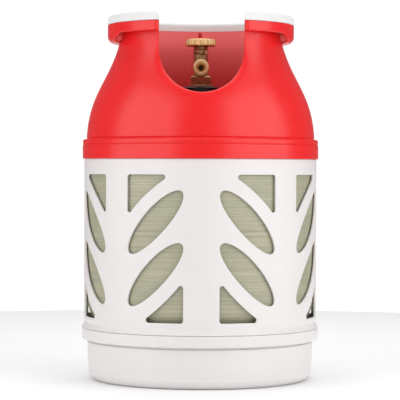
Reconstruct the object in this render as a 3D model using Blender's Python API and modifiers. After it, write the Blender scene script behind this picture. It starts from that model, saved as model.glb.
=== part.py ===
"""Composite gas bottle with a plastic casing, a hand rim and a brass outlet valve.

Lengths below are in millimetres and angles in degrees. The helpers convert to metres as they build.
The origin is the centre of the foot, +Z is up and the valve outlet faces -Y.
"""

import math

import bmesh
import bpy
from mathutils import Vector

MM = 0.001
GAP = 0.3

LARGE_STEPS = 48
BASE_STEPS = 40
VESSEL_STEPS = 36
MEDIUM_STEPS = 24
SMALL_STEPS = 16
MERGE_DISTANCE = 0.00005

# Upper casing
BAND_RADIUS = 152.5
BAND_BOTTOM = 284.1
CASING_WALL = 3.0
DOME_CURVE = ((147.4, 311.0), (143.9, 371.6), (118.2, 382.6), (104.6, 437.0))
DOME_POINTS = 8
NECK_RADIUS = 104.6
RIM_RADIUS = 120.5
RIM_TOP = 456.0
RIM_PLATE_BOTTOM = 453.0
RIM_SKIRT_BOTTOM = 445.2

# Hand grips at the left and right of the rim
GRIP_FRONT_ANGLE = 64.0
GRIP_BACK_ANGLE = 124.0
GRIP_RAMP_ANGLE = 12.0
GRIP_LIP_BOTTOM = 437.0
HAND_SLOT_BOTTOM = 433.5
HAND_SLOT_TOP = 451.4
HAND_SLOT_FRONT_ANGLE = 66.0
HAND_SLOT_BACK_ANGLE = 120.0

# Front opening
OPENING_HALF_WIDTH = 53.2
OPENING_ARC_CENTRE = 419.9
OPENING_CORNER_RADIUS = 5.0

# Soft rim trim
TRIM_BOTTOM = RIM_TOP + GAP
TRIM_TOP = 468.1
TRIM_INNER_RADIUS = 104.3
TRIM_EDGE_RADIUS = 4.6

# Lattice casing
LATTICE_RADIUS = 150.3
LATTICE_INNER_RADIUS = 147.3
COLUMN_COUNT = 8
LEAF_CENTRE_ANGLE = 22.9
LEAF_HALF_LENGTH = 52.0
LEAF_HALF_WIDTH = 16.0
LEAF_TILT = 46.5
LEAF_HEIGHTS = (141.25, 205.6)
LEAF_POINTS = 16
TOP_WINDOW = ((37.6, 264.2), (14.5, 264.2), (37.6, 212.6))
BOTTOM_WINDOW = ((8.55, 82.3), (29.7, 82.3), (8.55, 133.8))
WINDOW_BOW = 3.0
WINDOW_CORNER_RADIUS = 3.2

# Base casing
PARTING_HEIGHT = 67.2
BASE_RING_RADIUS = 152.8
FOOT_CORNER_RADIUS = 12.5
RECESS_RADIUS = 123.5
RECESS_HEIGHT = 14.0
DRAIN_RADIUS = 20.0
PLATE_RADIUS = 138.0
PLATE_THICKNESS = 3.0

# Pressure vessel: (radius, dome height) of nested ellipsoidal ends on a cylinder
VESSEL_BOTTOM = 105.0
VESSEL_TOP = 288.0
WINDING_RADIUS = 146.0
WINDING_WALL = 3.5
TOP_DOME_HEIGHT = 76.0
BOTTOM_DOME_HEIGHT = 81.0
LINER_WALL = 2.0
DOME_STEP_ANGLE = 15
NECK_HOLE_RADIUS = 19.3
TAIL_HOLE_RADIUS = 10.3
BOSS_FLANGE_RADIUS = 36.0

# Valve
HEXAGON_FLATS = 25.8
FRONT_BLOCK_WIDTH = 14.2
OUTLET_HEIGHT = 400.9
OUTLET_RADIUS = 10.75
OUTLET_FRONT = -30.0
CONE_RADIUS = 6.4
CONE_BOTTOM = -27.4
SOCKET_RADIUS = 3.85
SOCKET_BOTTOM = -20.0
CHECK_BORE_RADIUS = 3.65
CHECK_BORE_END = -9.2
CHAMBER_RADIUS = 7.0
SEAT_HEIGHT = 396.0
BODY_TOP = 425.6
RELIEF_ANGLE = 31.0
RELIEF_HEIGHT = 421.3
RELIEF_TIP = 14.0
WHEEL_BOTTOM = 430.2
WHEEL_TOP = 439.1
WHEEL_RADIUS = 20.0
WHEEL_FLUTES = 20
FLUTE_DEPTH = 0.7

PARTS = bpy.data.collections.new("composite_gas_bottle")
CUTTERS = bpy.data.collections.new("cutters")


def clear_scene():
    for thing in list(bpy.data.objects):
        bpy.data.objects.remove(thing, do_unlink=True)
    bpy.context.scene.collection.children.link(PARTS)
    bpy.context.scene.collection.children.link(CUTTERS)
    CUTTERS.hide_render = True


def material(name, colour, metallic, roughness):
    found = bpy.data.materials.get(name)
    if found:
        return found
    made = bpy.data.materials.new(name)
    made.use_nodes = True
    shader = made.node_tree.nodes["Principled BSDF"]
    shader.inputs["Base Color"].default_value = (*colour, 1.0)
    shader.inputs["Metallic"].default_value = metallic
    shader.inputs["Roughness"].default_value = roughness
    made.diffuse_color = (*colour, 1.0)
    return made


def red_plastic():
    return material("red_plastic", (0.80, 0.05, 0.04), 0.0, 0.45)


def white_plastic():
    return material("white_plastic", (0.80, 0.78, 0.77), 0.0, 0.45)


def soft_grip():
    return material("soft_grip", (0.86, 0.84, 0.82), 0.0, 0.7)


def glass_fibre():
    return material("glass_fibre", (0.40, 0.40, 0.30), 0.0, 0.35)


def liner_plastic():
    return material("liner_plastic", (0.75, 0.75, 0.70), 0.0, 0.5)


def aluminium():
    return material("aluminium", (0.70, 0.71, 0.72), 1.0, 0.35)


def black_plastic():
    return material("black_plastic", (0.02, 0.02, 0.02), 0.0, 0.5)


def black_rubber():
    return material("black_rubber", (0.015, 0.015, 0.015), 0.0, 0.8)


def brass():
    return material("brass", (0.55, 0.33, 0.14), 1.0, 0.35)


def spring_steel():
    return material("spring_steel", (0.55, 0.55, 0.56), 1.0, 0.3)


def placed(thing, collection, shade):
    collection.objects.link(thing)
    if collection is CUTTERS:
        thing.hide_render = True
        thing.display_type = "WIRE"
    if shade:
        thing.data.materials.append(shade)
    return thing


def aim(thing, centre, direction):
    """Puts the object's origin at centre and turns its own Z along direction."""
    thing.location = Vector(centre) * MM
    thing.rotation_mode = "QUATERNION"
    thing.rotation_quaternion = Vector(direction).to_track_quat("Z", "Y")
    return thing


def turned(name, profile, steps, shade=None, collection=PARTS, closed=True):
    """A solid of revolution about Z. The profile lists (radius, height), down the outside first."""
    points = [(radius * MM, 0.0, height * MM) for radius, height in profile]
    edges = [(index, index + 1) for index in range(len(points) - 1)]
    if closed:
        edges.append((len(points) - 1, 0))
    mesh = bpy.data.meshes.new(name)
    mesh.from_pydata(points, edges, [])
    thing = placed(bpy.data.objects.new(name, mesh), collection, shade)
    screw = thing.modifiers.new("turn", "SCREW")
    screw.axis = "Z"
    screw.angle = 2 * math.pi
    screw.steps = steps
    screw.render_steps = steps
    screw.use_merge_vertices = True
    screw.merge_threshold = MERGE_DISTANCE
    screw.use_smooth_shade = False
    return thing


def face_outwards(mesh):
    work = bmesh.new()
    work.from_mesh(mesh)
    bmesh.ops.recalc_face_normals(work, faces=work.faces)
    work.to_mesh(mesh)
    work.free()


def lofted(name, rings, shade=None, collection=PARTS):
    """A closed solid through rings of points, which all have the same number of them."""
    size = len(rings[0])
    points = [tuple(value * MM for value in point) for ring in rings for point in ring]
    faces = [tuple(reversed(range(size)))]
    faces.append(tuple(range((len(rings) - 1) * size, len(rings) * size)))
    for level in range(len(rings) - 1):
        for index in range(size):
            following = (index + 1) % size
            low = level * size
            high = low + size
            faces.append((low + index, low + following, high + following, high + index))
    mesh = bpy.data.meshes.new(name)
    mesh.from_pydata(points, [], faces)
    face_outwards(mesh)
    return placed(bpy.data.objects.new(name, mesh), collection, shade)


def wire(name, path, radius, shade):
    """A round wire along a path of points."""
    curve = bpy.data.curves.new(name, "CURVE")
    curve.dimensions = "3D"
    curve.bevel_depth = radius * MM
    curve.bevel_resolution = 2
    curve.use_fill_caps = True
    spline = curve.splines.new("POLY")
    spline.points.add(len(path) - 1)
    for point, place in zip(spline.points, path):
        point.co = (*(value * MM for value in place), 1.0)
    return placed(bpy.data.objects.new(name, curve), PARTS, shade)


def combine(thing, other, operation):
    boolean = thing.modifiers.new(f"{operation.lower()}_{other.name}", "BOOLEAN")
    boolean.operation = operation
    boolean.solver = "EXACT"
    boolean.object = other


def cut(thing, other):
    combine(thing, other, "DIFFERENCE")


def join(thing, other):
    combine(thing, other, "UNION")


def arc(centre, radius, start, end, steps):
    """Points of an arc in a plane, from one angle to another."""
    angles = [math.radians(start + (end - start) * step / steps) for step in range(steps + 1)]
    return [
        (centre[0] + radius * math.cos(angle), centre[1] + radius * math.sin(angle))
        for angle in angles
    ]


def bezier(corners, count):
    """Points of a cubic curve given by its four control points."""
    found = []
    for step in range(count + 1):
        t = step / count
        weights = ((1 - t) ** 3, 3 * (1 - t) ** 2 * t, 3 * (1 - t) * t * t, t**3)
        found.append(tuple(sum(w * p[axis] for w, p in zip(weights, corners)) for axis in (0, 1)))
    return found


def rounded(corners, radii, steps):
    """The outline of a polygon with its corners rounded; a radius of 0 leaves a corner as it is."""
    found = []
    for index, (corner, radius) in enumerate(zip(corners, radii)):
        if not radius:
            found.append(corner)
            continue
        here = Vector(corner)
        back = (Vector(corners[index - 1]) - here).normalized()
        ahead = (Vector(corners[(index + 1) % len(corners)]) - here).normalized()
        half = back.angle(ahead) / 2
        centre = here + (back + ahead).normalized() * (radius / math.sin(half))
        start = here + back * (radius / math.tan(half)) - centre
        end = here + ahead * (radius / math.tan(half)) - centre
        for step in range(steps + 1):
            part = start.lerp(end, step / steps).normalized() * radius
            found.append(tuple(centre + part))
    return found


def ring_sector(name, inner, outer, angles, bottoms, top, collection=CUTTERS):
    """A curved wall between two radii; angles run from the front towards +X, one bottom for each."""
    rings = []
    for angle, bottom in zip(angles, bottoms):
        turn = math.radians(angle)
        across = (math.sin(turn), -math.cos(turn))
        section = ((outer, bottom), (outer, top), (inner, top), (inner, bottom))
        rings.append([(radius * across[0], radius * across[1], z) for radius, z in section])
    return lofted(name, rings, None, collection)


def mirrored_sector(thing, name):
    """The same wall on the other side of the bottle."""
    mesh = thing.data.copy()
    for vertex in mesh.vertices:
        vertex.co.x = -vertex.co.x
    face_outwards(mesh)
    return placed(bpy.data.objects.new(name, mesh), CUTTERS, None)


def polygon(count, radius, height, turn=0.0):
    """Corners of a level regular polygon round the Z axis."""
    angles = [math.radians(turn + 360.0 * index / count) for index in range(count)]
    return [(radius * math.cos(angle), radius * math.sin(angle), height) for angle in angles]


def upper_casing_profile():
    dome = bezier(DOME_CURVE, DOME_POINTS)
    inner_dome = [(radius - CASING_WALL, height) for radius, height in dome]
    skirt_inner = RIM_RADIUS - CASING_WALL
    outside = [
        (RIM_RADIUS, RIM_TOP),
        (RIM_RADIUS, RIM_SKIRT_BOTTOM + 0.5),
        (RIM_RADIUS - 0.5, RIM_SKIRT_BOTTOM),
        (skirt_inner, RIM_SKIRT_BOTTOM),
        (skirt_inner, RIM_PLATE_BOTTOM),
        (NECK_RADIUS + 2.0, RIM_PLATE_BOTTOM),
        (NECK_RADIUS + 0.4, RIM_PLATE_BOTTOM - 3.0),
    ]
    shoulder = [(147.9, 310.6), (149.2, 310.2), (150.8, 308.2), (152.0, 305.6), (BAND_RADIUS, 303.0)]
    band_inner = BAND_RADIUS - CASING_WALL
    band = [(BAND_RADIUS, BAND_BOTTOM), (band_inner, BAND_BOTTOM)]
    inside = [(band_inner, 303.4), (148.6, 305.8), (147.0, 307.6), (145.2, 308.4)]
    top = [(NECK_RADIUS - CASING_WALL + 0.2, RIM_TOP)]
    return outside + list(reversed(dome)) + shoulder + band + inside + inner_dome + top


def opening_cutter():
    """The prism that opens the front of the casing and of the trim."""
    half = OPENING_HALF_WIDTH
    corner = OPENING_CORNER_RADIUS
    right = arc((half + corner, TRIM_TOP - corner), corner, 180.0, 90.0, 5)
    left = [(-x, z) for x, z in reversed(right)]
    above = [(half + corner, TRIM_TOP + 10.0), (-half - corner, TRIM_TOP + 10.0)]
    bottom = arc((0.0, OPENING_ARC_CENTRE), half, 180.0, 360.0, 20)
    outline = right + above + left + bottom
    rings = [[(x, y, z) for x, z in outline] for y in (-40.0, -180.0)]
    return lofted("opening_cutter", rings, None, CUTTERS)


def grip_angles():
    count = 12
    span = GRIP_BACK_ANGLE - GRIP_FRONT_ANGLE
    return [GRIP_FRONT_ANGLE + span * index / count for index in range(count + 1)]


def grip_bottoms():
    """The lower edge of a grip lip, which ramps down from the rim and back up."""
    found = []
    for angle in grip_angles():
        inward = min(angle - GRIP_FRONT_ANGLE, GRIP_BACK_ANGLE - angle) / GRIP_RAMP_ANGLE
        eased = 0.5 - 0.5 * math.cos(math.pi * min(1.0, inward))
        found.append(RIM_SKIRT_BOTTOM + 0.2 - (RIM_SKIRT_BOTTOM - GRIP_LIP_BOTTOM) * eased)
    return found


def upper_casing(opening):
    casing = turned("upper_casing", upper_casing_profile(), LARGE_STEPS, red_plastic())
    inner = RIM_RADIUS - CASING_WALL
    lip = ring_sector("grip_lip_right", inner, RIM_RADIUS, grip_angles(), grip_bottoms(), 450.0)
    join(casing, lip)
    join(casing, mirrored_sector(lip, "grip_lip_left"))
    count = 8
    span = HAND_SLOT_BACK_ANGLE - HAND_SLOT_FRONT_ANGLE
    angles = [HAND_SLOT_FRONT_ANGLE + span * index / count for index in range(count + 1)]
    bottoms = [HAND_SLOT_BOTTOM] * len(angles)
    bottoms[0] += 4.0
    bottoms[-1] += 4.0
    slot = ring_sector("hand_slot_right", 96.0, 116.9, angles, bottoms, HAND_SLOT_TOP)
    cut(casing, slot)
    cut(casing, mirrored_sector(slot, "hand_slot_left"))
    cut(casing, opening)


def handle_trim(opening):
    edge = TRIM_EDGE_RADIUS
    outside = arc((RIM_RADIUS - edge, TRIM_TOP - edge), edge, 90.0, 0.0, 5)
    inside = arc((TRIM_INNER_RADIUS + edge, TRIM_TOP - edge), edge, 180.0, 90.0, 5)
    profile = outside + [(RIM_RADIUS, TRIM_BOTTOM), (TRIM_INNER_RADIUS, TRIM_BOTTOM)] + inside
    trim = turned("handle_trim", profile, LARGE_STEPS, soft_grip())
    cut(trim, opening)


def lattice_profile():
    outside = [
        (149.2, 297.0),
        (149.2, 283.8),
        (LATTICE_RADIUS, 283.8),
        (LATTICE_RADIUS, 79.5),
        (149.4, 75.8),
        (150.4, 72.4),
        (152.2, 69.6),
        (BASE_RING_RADIUS, 68.2),
        (BASE_RING_RADIUS, PARTING_HEIGHT),
    ]
    inside = [
        (149.9, PARTING_HEIGHT),
        (149.9, 68.4),
        (147.6, 71.6),
        (LATTICE_INNER_RADIUS, 76.0),
        (LATTICE_INNER_RADIUS, 281.0),
        (146.6, 283.0),
        (146.6, 297.0),
    ]
    return outside + inside


def on_plane(along, height):
    """Unrolled surface coordinates brought onto the flat face of a straight cutter."""
    return (LATTICE_RADIUS * math.sin(along / LATTICE_RADIUS), height)


def leaf_outline(height):
    """A tilted ellipse on the unrolled wall, which rises towards the front column."""
    tilt = math.radians(LEAF_TILT)
    found = []
    for index in range(LEAF_POINTS):
        turn = 2 * math.pi * index / LEAF_POINTS
        long = LEAF_HALF_LENGTH * math.cos(turn)
        short = LEAF_HALF_WIDTH * math.sin(turn)
        along = -long * math.cos(tilt) - short * math.sin(tilt)
        up = long * math.sin(tilt) - short * math.cos(tilt)
        found.append(on_plane(along, height + up))
    return found


def window_outline(corners):
    """A corner window whose long side bows in to follow the leaf beside it."""
    flat = [
        (math.radians(angle - LEAF_CENTRE_ANGLE) * LATTICE_RADIUS, height)
        for angle, height in corners
    ]
    square, first, second = (Vector(point) for point in flat)
    inward = (square - (first + second) / 2).normalized()
    bowed = []
    for part in (0.25, 0.5, 0.75):
        bow = WINDOW_BOW * 4 * part * (1 - part)
        bowed.append(first.lerp(second, part) + inward * bow)
    outline = [square, first] + bowed + [second]
    corner = WINDOW_CORNER_RADIUS
    radii = [corner, corner] + [0.0] * len(bowed) + [corner]
    smooth = rounded([tuple(point) for point in outline], radii, 3)
    return [on_plane(along, height) for along, height in smooth]


def radial_cutter(name, outline, angle, flipped):
    """A prism with the outline, pushed straight through the wall at an angle from the front."""
    shape = [(-x, z) for x, z in outline] if flipped else outline
    turn = math.radians(angle)
    outward = (math.sin(turn), -math.cos(turn))
    sideways = (math.cos(turn), math.sin(turn))
    rings = []
    for distance in (125.0, 165.0):
        rings.append(
            [
                (
                    outward[0] * distance + sideways[0] * x,
                    outward[1] * distance + sideways[1] * x,
                    z,
                )
                for x, z in shape
            ]
        )
    return lofted(name, rings, None, CUTTERS)


def lattice_casing():
    casing = turned("lattice_casing", lattice_profile(), LARGE_STEPS, white_plastic())
    outlines = [leaf_outline(height) for height in LEAF_HEIGHTS]
    outlines += [window_outline(TOP_WINDOW), window_outline(BOTTOM_WINDOW)]
    pitch = 360.0 / COLUMN_COUNT
    for sector in range(COLUMN_COUNT):
        flipped = sector % 2 == 1
        offset = pitch - LEAF_CENTRE_ANGLE if flipped else LEAF_CENTRE_ANGLE
        for index, outline in enumerate(outlines):
            name = f"window_{sector}_{index}"
            cut(casing, radial_cutter(name, outline, sector * pitch + offset, flipped))


def base_casing():
    corner = FOOT_CORNER_RADIUS
    foot_centre = (143.8 - corner, corner)
    outside = [
        (147.0, 74.0),
        (147.0, PARTING_HEIGHT - GAP),
        (BASE_RING_RADIUS, PARTING_HEIGHT - GAP),
        (152.4, 54.0),
        (151.4, 51.9),
        (147.6, 50.8),
        (145.6, 48.2),
        (144.9, 26.0),
    ]
    foot = arc(foot_centre, corner, 0.0, -90.0, 5)
    recess = [
        (RECESS_RADIUS + 1.0, 0.0),
        (RECESS_RADIUS, 1.0),
        (RECESS_RADIUS, RECESS_HEIGHT),
        (RECESS_RADIUS + 3.0, RECESS_HEIGHT),
        (RECESS_RADIUS + 3.0, 3.2),
    ]
    inner_foot = arc(foot_centre, corner - 3.0, -90.0, 0.0, 3)
    inside = [
        (142.0, 26.0),
        (142.6, 49.0),
        (144.2, 53.0),
        (148.4, 54.6),
        (149.5, 57.0),
        (149.5, 60.0),
        (144.0, 63.5),
        (144.0, 74.0),
    ]
    profile = outside + foot + recess + inner_foot + inside
    turned("base_casing", profile, BASE_STEPS, white_plastic())


def support_plate():
    """The drained plate that rests in the base casing and carries the vessel on its rib."""
    bottom = RECESS_HEIGHT + GAP
    top = bottom + PLATE_THICKNESS
    profile = [
        (DRAIN_RADIUS, top),
        (79.0, top),
        (80.0, 36.6),
        (84.0, 38.2),
        (85.0, top),
        (PLATE_RADIUS, top),
        (PLATE_RADIUS, bottom),
        (DRAIN_RADIUS, bottom),
    ]
    turned("support_plate", profile, BASE_STEPS, white_plastic())


def dome_arc(wall_radius, dome_height, from_radius, base, direction):
    """Profile points from a hole's edge to the wall of an ellipsoidal end, at angles that all share."""
    edge = math.acos(from_radius / wall_radius)
    shared = range(0, 90, DOME_STEP_ANGLE)
    angles = [math.radians(angle) for angle in shared if math.radians(angle) < edge - 0.03]
    return [
        (wall_radius * math.cos(angle), base + direction * dome_height * math.sin(angle))
        for angle in [edge] + list(reversed(angles))
    ]


def glass_fibre_winding():
    outer_top = dome_arc(WINDING_RADIUS, TOP_DOME_HEIGHT, NECK_HOLE_RADIUS, VESSEL_TOP, 1)
    outer_bottom = dome_arc(
        WINDING_RADIUS, BOTTOM_DOME_HEIGHT, TAIL_HOLE_RADIUS, VESSEL_BOTTOM, -1
    )
    inner = WINDING_RADIUS - WINDING_WALL
    inner_top = dome_arc(inner, TOP_DOME_HEIGHT - WINDING_WALL, NECK_HOLE_RADIUS, VESSEL_TOP, 1)
    inner_bottom = dome_arc(
        inner, BOTTOM_DOME_HEIGHT - WINDING_WALL, TAIL_HOLE_RADIUS, VESSEL_BOTTOM, -1
    )
    profile = outer_top + list(reversed(outer_bottom)) + inner_bottom + list(reversed(inner_top))
    turned("glass_fibre_winding", profile, VESSEL_STEPS, glass_fibre())


def liner():
    """The gas-tight inner shell, dished under the flanges of the two bosses and open at the neck."""
    outer = WINDING_RADIUS - WINDING_WALL - GAP
    inner = outer - LINER_WALL
    top_height = TOP_DOME_HEIGHT - WINDING_WALL - GAP
    bottom_height = BOTTOM_DOME_HEIGHT - WINDING_WALL - GAP
    dish = BOSS_FLANGE_RADIUS + 0.5
    outside = [(12.6, 354.3), (dish, 354.3)]
    outside += dome_arc(outer, top_height, dish, VESSEL_TOP, 1)
    outside += list(reversed(dome_arc(outer, bottom_height, dish, VESSEL_BOTTOM, -1)))
    outside += [(dish, 33.7), (0.0, 33.7)]
    inside = [(0.0, 36.0), (dish + 4.0, 36.0)]
    inside += dome_arc(inner, bottom_height - LINER_WALL, 48.0, VESSEL_BOTTOM, -1)
    inside += list(reversed(dome_arc(inner, top_height - LINER_WALL, 48.0, VESSEL_TOP, 1)))
    inside += [(dish + 4.0, 352.0), (12.6, 352.0)]
    turned("liner", outside + inside, VESSEL_STEPS, liner_plastic())


def neck_boss():
    """The threaded neck, whose flange is clamped between the liner and the winding."""
    profile = [
        (12.8, 376.4),
        (12.8, 374.2),
        (15.2, 374.2),
        (15.2, 376.4),
        (19.0, 376.4),
        (19.0, 359.0),
        (BOSS_FLANGE_RADIUS, 357.6),
        (BOSS_FLANGE_RADIUS, 354.6),
        (12.0, 354.6),
        (12.0, 376.4),
    ]
    turned("neck_boss", profile, MEDIUM_STEPS, aluminium())


def tail_boss():
    profile = [
        (0.0, 33.4),
        (BOSS_FLANGE_RADIUS, 33.4),
        (BOSS_FLANGE_RADIUS, 30.7),
        (10.0, 29.0),
        (10.0, 18.5),
        (9.0, 17.5),
        (4.0, 17.5),
        (4.0, 22.0),
        (0.0, 24.0),
    ]
    turned("tail_boss", profile, MEDIUM_STEPS, aluminium(), closed=False)


def neck_collar():
    profile = [
        (28.6, 376.4),
        (30.0, 375.0),
        (30.0, 365.0),
        (28.0, 364.0),
        (19.3, 364.0),
        (19.3, 376.4),
    ]
    turned("neck_collar", profile, MEDIUM_STEPS, black_plastic())


def o_ring(name, centre_radius, thickness_radius, height):
    profile = [
        (centre_radius + x, height + z)
        for x, z in arc((0.0, 0.0), thickness_radius, 90.0, -210.0, 5)
    ]
    turned(name, profile, SMALL_STEPS, black_rubber())


def stem_and_column():
    """The threaded stem, sealing flange, round column and head of the valve body."""
    profile = [
        (8.9, BODY_TOP),
        (9.7, BODY_TOP - 0.9),
        (9.7, 420.2),
        (8.7, 419.2),
        (9.4, 418.2),
        (9.4, 390.0),
        (12.0, 389.0),
        (12.0, 380.4),
        (15.4, 380.4),
        (16.4, 379.6),
        (16.4, 376.8),
        (11.6, 376.8),
        (11.6, 352.0),
        (10.6, 351.0),
        (0.0, 351.0),
    ]
    return turned("valve_body", [(0.0, BODY_TOP)] + profile, MEDIUM_STEPS, brass(), closed=False)


def relief_direction():
    turn = math.radians(RELIEF_ANGLE)
    return (math.sin(turn), -math.cos(turn), 0.0)


def valve_body():
    body = stem_and_column()
    hexagon = HEXAGON_FLATS / math.sqrt(3.0)
    levels = ((hexagon - 1.2, 380.0), (hexagon, 381.2), (hexagon, 389.8), (hexagon - 1.6, 391.4))
    rings = [polygon(6, radius, height, 30.0) for radius, height in levels]
    join(body, lofted("hexagon_block", rings, None, CUTTERS))
    half = FRONT_BLOCK_WIDTH / 2
    front_block = [
        [(x, y, z) for x, y in ((-half, -9.8), (half, -9.8), (half, 0.0), (-half, 0.0))]
        for z in (400.0, 418.4)
    ]
    join(body, lofted("front_block", front_block, None, CUTTERS))
    outlet = [
        (8.5, -OUTLET_FRONT),
        (9.8, -OUTLET_FRONT - 0.7),
        (OUTLET_RADIUS, -OUTLET_FRONT - 2.2),
        (OUTLET_RADIUS, 13.0),
        (9.6, 11.8),
        (9.2, 3.0),
        (0.0, 3.0),
    ]
    outlet_pipe = turned(
        "outlet_pipe", [(0.0, -OUTLET_FRONT)] + outlet, MEDIUM_STEPS, None, CUTTERS, closed=False
    )
    aim(outlet_pipe, (0.0, 0.0, OUTLET_HEIGHT), (0.0, -1.0, 0.0))
    join(body, outlet_pipe)
    relief_profile = [(0.0, RELIEF_TIP), (2.6, RELIEF_TIP), (2.95, RELIEF_TIP - 0.4)]
    relief_profile += [(2.95, 9.8), (2.9, 8.1), (0.0, 8.1)]
    boss = turned("relief_boss", relief_profile, SMALL_STEPS, None, CUTTERS, closed=False)
    aim(boss, (0.0, 0.0, RELIEF_HEIGHT), relief_direction())
    join(body, boss)

    chamber = [
        (0.0, BODY_TOP + 5.0),
        (7.8, BODY_TOP + 5.0),
        (7.8, 412.8),
        (CHAMBER_RADIUS, 412.8),
        (CHAMBER_RADIUS, SEAT_HEIGHT),
        (3.5, SEAT_HEIGHT),
        (3.5, 340.0),
        (0.0, 340.0),
    ]
    cut(body, turned("chamber", chamber, MEDIUM_STEPS, None, CUTTERS, closed=False))
    bore = [
        (0.0, 35.0),
        (CONE_RADIUS, 35.0),
        (CONE_RADIUS, -OUTLET_FRONT),
        (SOCKET_RADIUS, -CONE_BOTTOM),
        (SOCKET_RADIUS, -SOCKET_BOTTOM),
        (CHECK_BORE_RADIUS, -SOCKET_BOTTOM),
        (CHECK_BORE_RADIUS, -CHECK_BORE_END),
        (2.2, -CHECK_BORE_END),
        (2.2, 4.0),
        (0.0, 4.0),
    ]
    outlet_bore = turned("outlet_bore", bore, SMALL_STEPS, None, CUTTERS, closed=False)
    aim(outlet_bore, (0.0, 0.0, OUTLET_HEIGHT), (0.0, -1.0, 0.0))
    cut(body, outlet_bore)
    relief_bore = [(0.0, 16.0), (2.25, 16.0), (2.25, 9.4), (0.7, 9.4), (0.7, 6.5), (0.0, 6.5)]
    relief_cutter = turned("relief_bore", relief_bore, SMALL_STEPS, None, CUTTERS, closed=False)
    aim(relief_cutter, (0.0, 0.0, RELIEF_HEIGHT), relief_direction())
    cut(body, relief_cutter)


def gland_nut():
    """The threaded plug that holds the spindle down in the body."""
    profile = [
        (8.4, 429.8),
        (9.0, 429.2),
        (9.0, BODY_TOP + GAP),
        (7.5, BODY_TOP + GAP),
        (7.5, 413.1),
        (4.6, 413.1),
        (4.6, 429.8),
    ]
    turned("gland_nut", profile, MEDIUM_STEPS, brass())


def gland_washer():
    profile = [(6.6, 412.7), (6.6, 411.7), (4.6, 411.7), (4.6, 412.7)]
    turned("gland_washer", profile, MEDIUM_STEPS, liner_plastic())


def spindle():
    """The turning stem, with two seal grooves, a thrust flange and a drive stud for the seat plug."""
    profile = [
        (0.0, 437.2),
        (2.2, 437.2),
        (2.5, 436.9),
        (2.5, 431.6),
        (3.3, 431.6),
        (3.3, 429.9),
        (4.3, 429.9),
        (4.3, 423.0),
        (2.7, 423.0),
        (2.7, 421.1),
        (4.3, 421.1),
        (4.3, 418.6),
        (2.7, 418.6),
        (2.7, 416.7),
        (4.3, 416.7),
        (4.3, 411.4),
        (6.2, 411.4),
        (6.2, 409.6),
        (2.7, 409.6),
        (2.7, 404.5),
        (0.0, 404.5),
    ]
    turned("spindle", profile, SMALL_STEPS, brass(), closed=False)


def seat_plug():
    """The piece that the spindle lifts off the seat; a peg under it holds the seal disc."""
    profile = [
        (3.0, 406.5),
        (5.0, 406.5),
        (5.0, 405.0),
        (6.6, 405.0),
        (6.6, 402.6),
        (5.0, 402.0),
        (5.0, 399.1),
        (1.2, 399.1),
        (1.2, 397.0),
        (0.0, 397.0),
        (0.0, 401.5),
        (3.0, 401.5),
    ]
    turned("seat_plug", profile, SMALL_STEPS, brass())


def seat_disc():
    profile = [(4.9, 398.8), (4.9, 396.3), (1.5, 396.3), (1.5, 398.8)]
    turned("seat_disc", profile, SMALL_STEPS, black_rubber())


def fluted_ring(radius, height):
    """One level of the handwheel's outline."""
    per_flute = 4
    count = WHEEL_FLUTES * per_flute
    found = []
    for index in range(count):
        turn = 2 * math.pi * index / count
        dip = FLUTE_DEPTH * (0.5 - 0.5 * math.cos(turn * WHEEL_FLUTES)) ** 2
        reach = radius - dip
        found.append((reach * math.cos(turn), reach * math.sin(turn), height))
    return found


def handwheel():
    levels = (
        (WHEEL_RADIUS - 0.7, WHEEL_BOTTOM),
        (WHEEL_RADIUS, WHEEL_BOTTOM + 0.8),
        (WHEEL_RADIUS - 1.0, WHEEL_TOP - 2.6),
        (WHEEL_RADIUS - 2.0, WHEEL_TOP - 0.9),
        (WHEEL_RADIUS - 3.8, WHEEL_TOP),
    )
    rings = [fluted_ring(radius, height) for radius, height in levels]
    wheel = lofted("handwheel", rings, brass())
    under = [(17.0, 432.6), (17.0, 425.0), (9.4, 425.0), (9.4, 433.2), (16.0, 433.2)]
    cut(wheel, turned("wheel_underside", under, MEDIUM_STEPS, None, CUTTERS))
    top = [(0.0, 445.0), (8.2, 445.0), (8.2, 435.2), (0.0, 435.2)]
    cut(wheel, turned("wheel_top", top, MEDIUM_STEPS, None, CUTTERS, closed=False))
    hole = [
        (0.0, 440.0),
        (2.8, 440.0),
        (2.8, 432.0),
        (3.6, 432.0),
        (3.6, 420.0),
        (0.0, 420.0),
    ]
    cut(wheel, turned("wheel_hole", hole, SMALL_STEPS, None, CUTTERS, closed=False))


def handwheel_washer():
    profile = [(6.6, 436.2), (6.6, 435.5), (2.8, 435.5), (2.8, 436.2)]
    turned("handwheel_washer", profile, SMALL_STEPS, spring_steel())


def handwheel_nut():
    rings = [
        polygon(6, radius, height, 30.0)
        for radius, height in ((4.6, 436.5), (4.6, 438.4), (4.1, 438.9))
    ]
    nut = lofted("handwheel_nut", rings, brass())
    hole = [(0.0, 441.0), (2.8, 441.0), (2.8, 436.0), (0.0, 436.0)]
    cut(nut, turned("nut_hole", hole, SMALL_STEPS, None, CUTTERS, closed=False))


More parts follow.
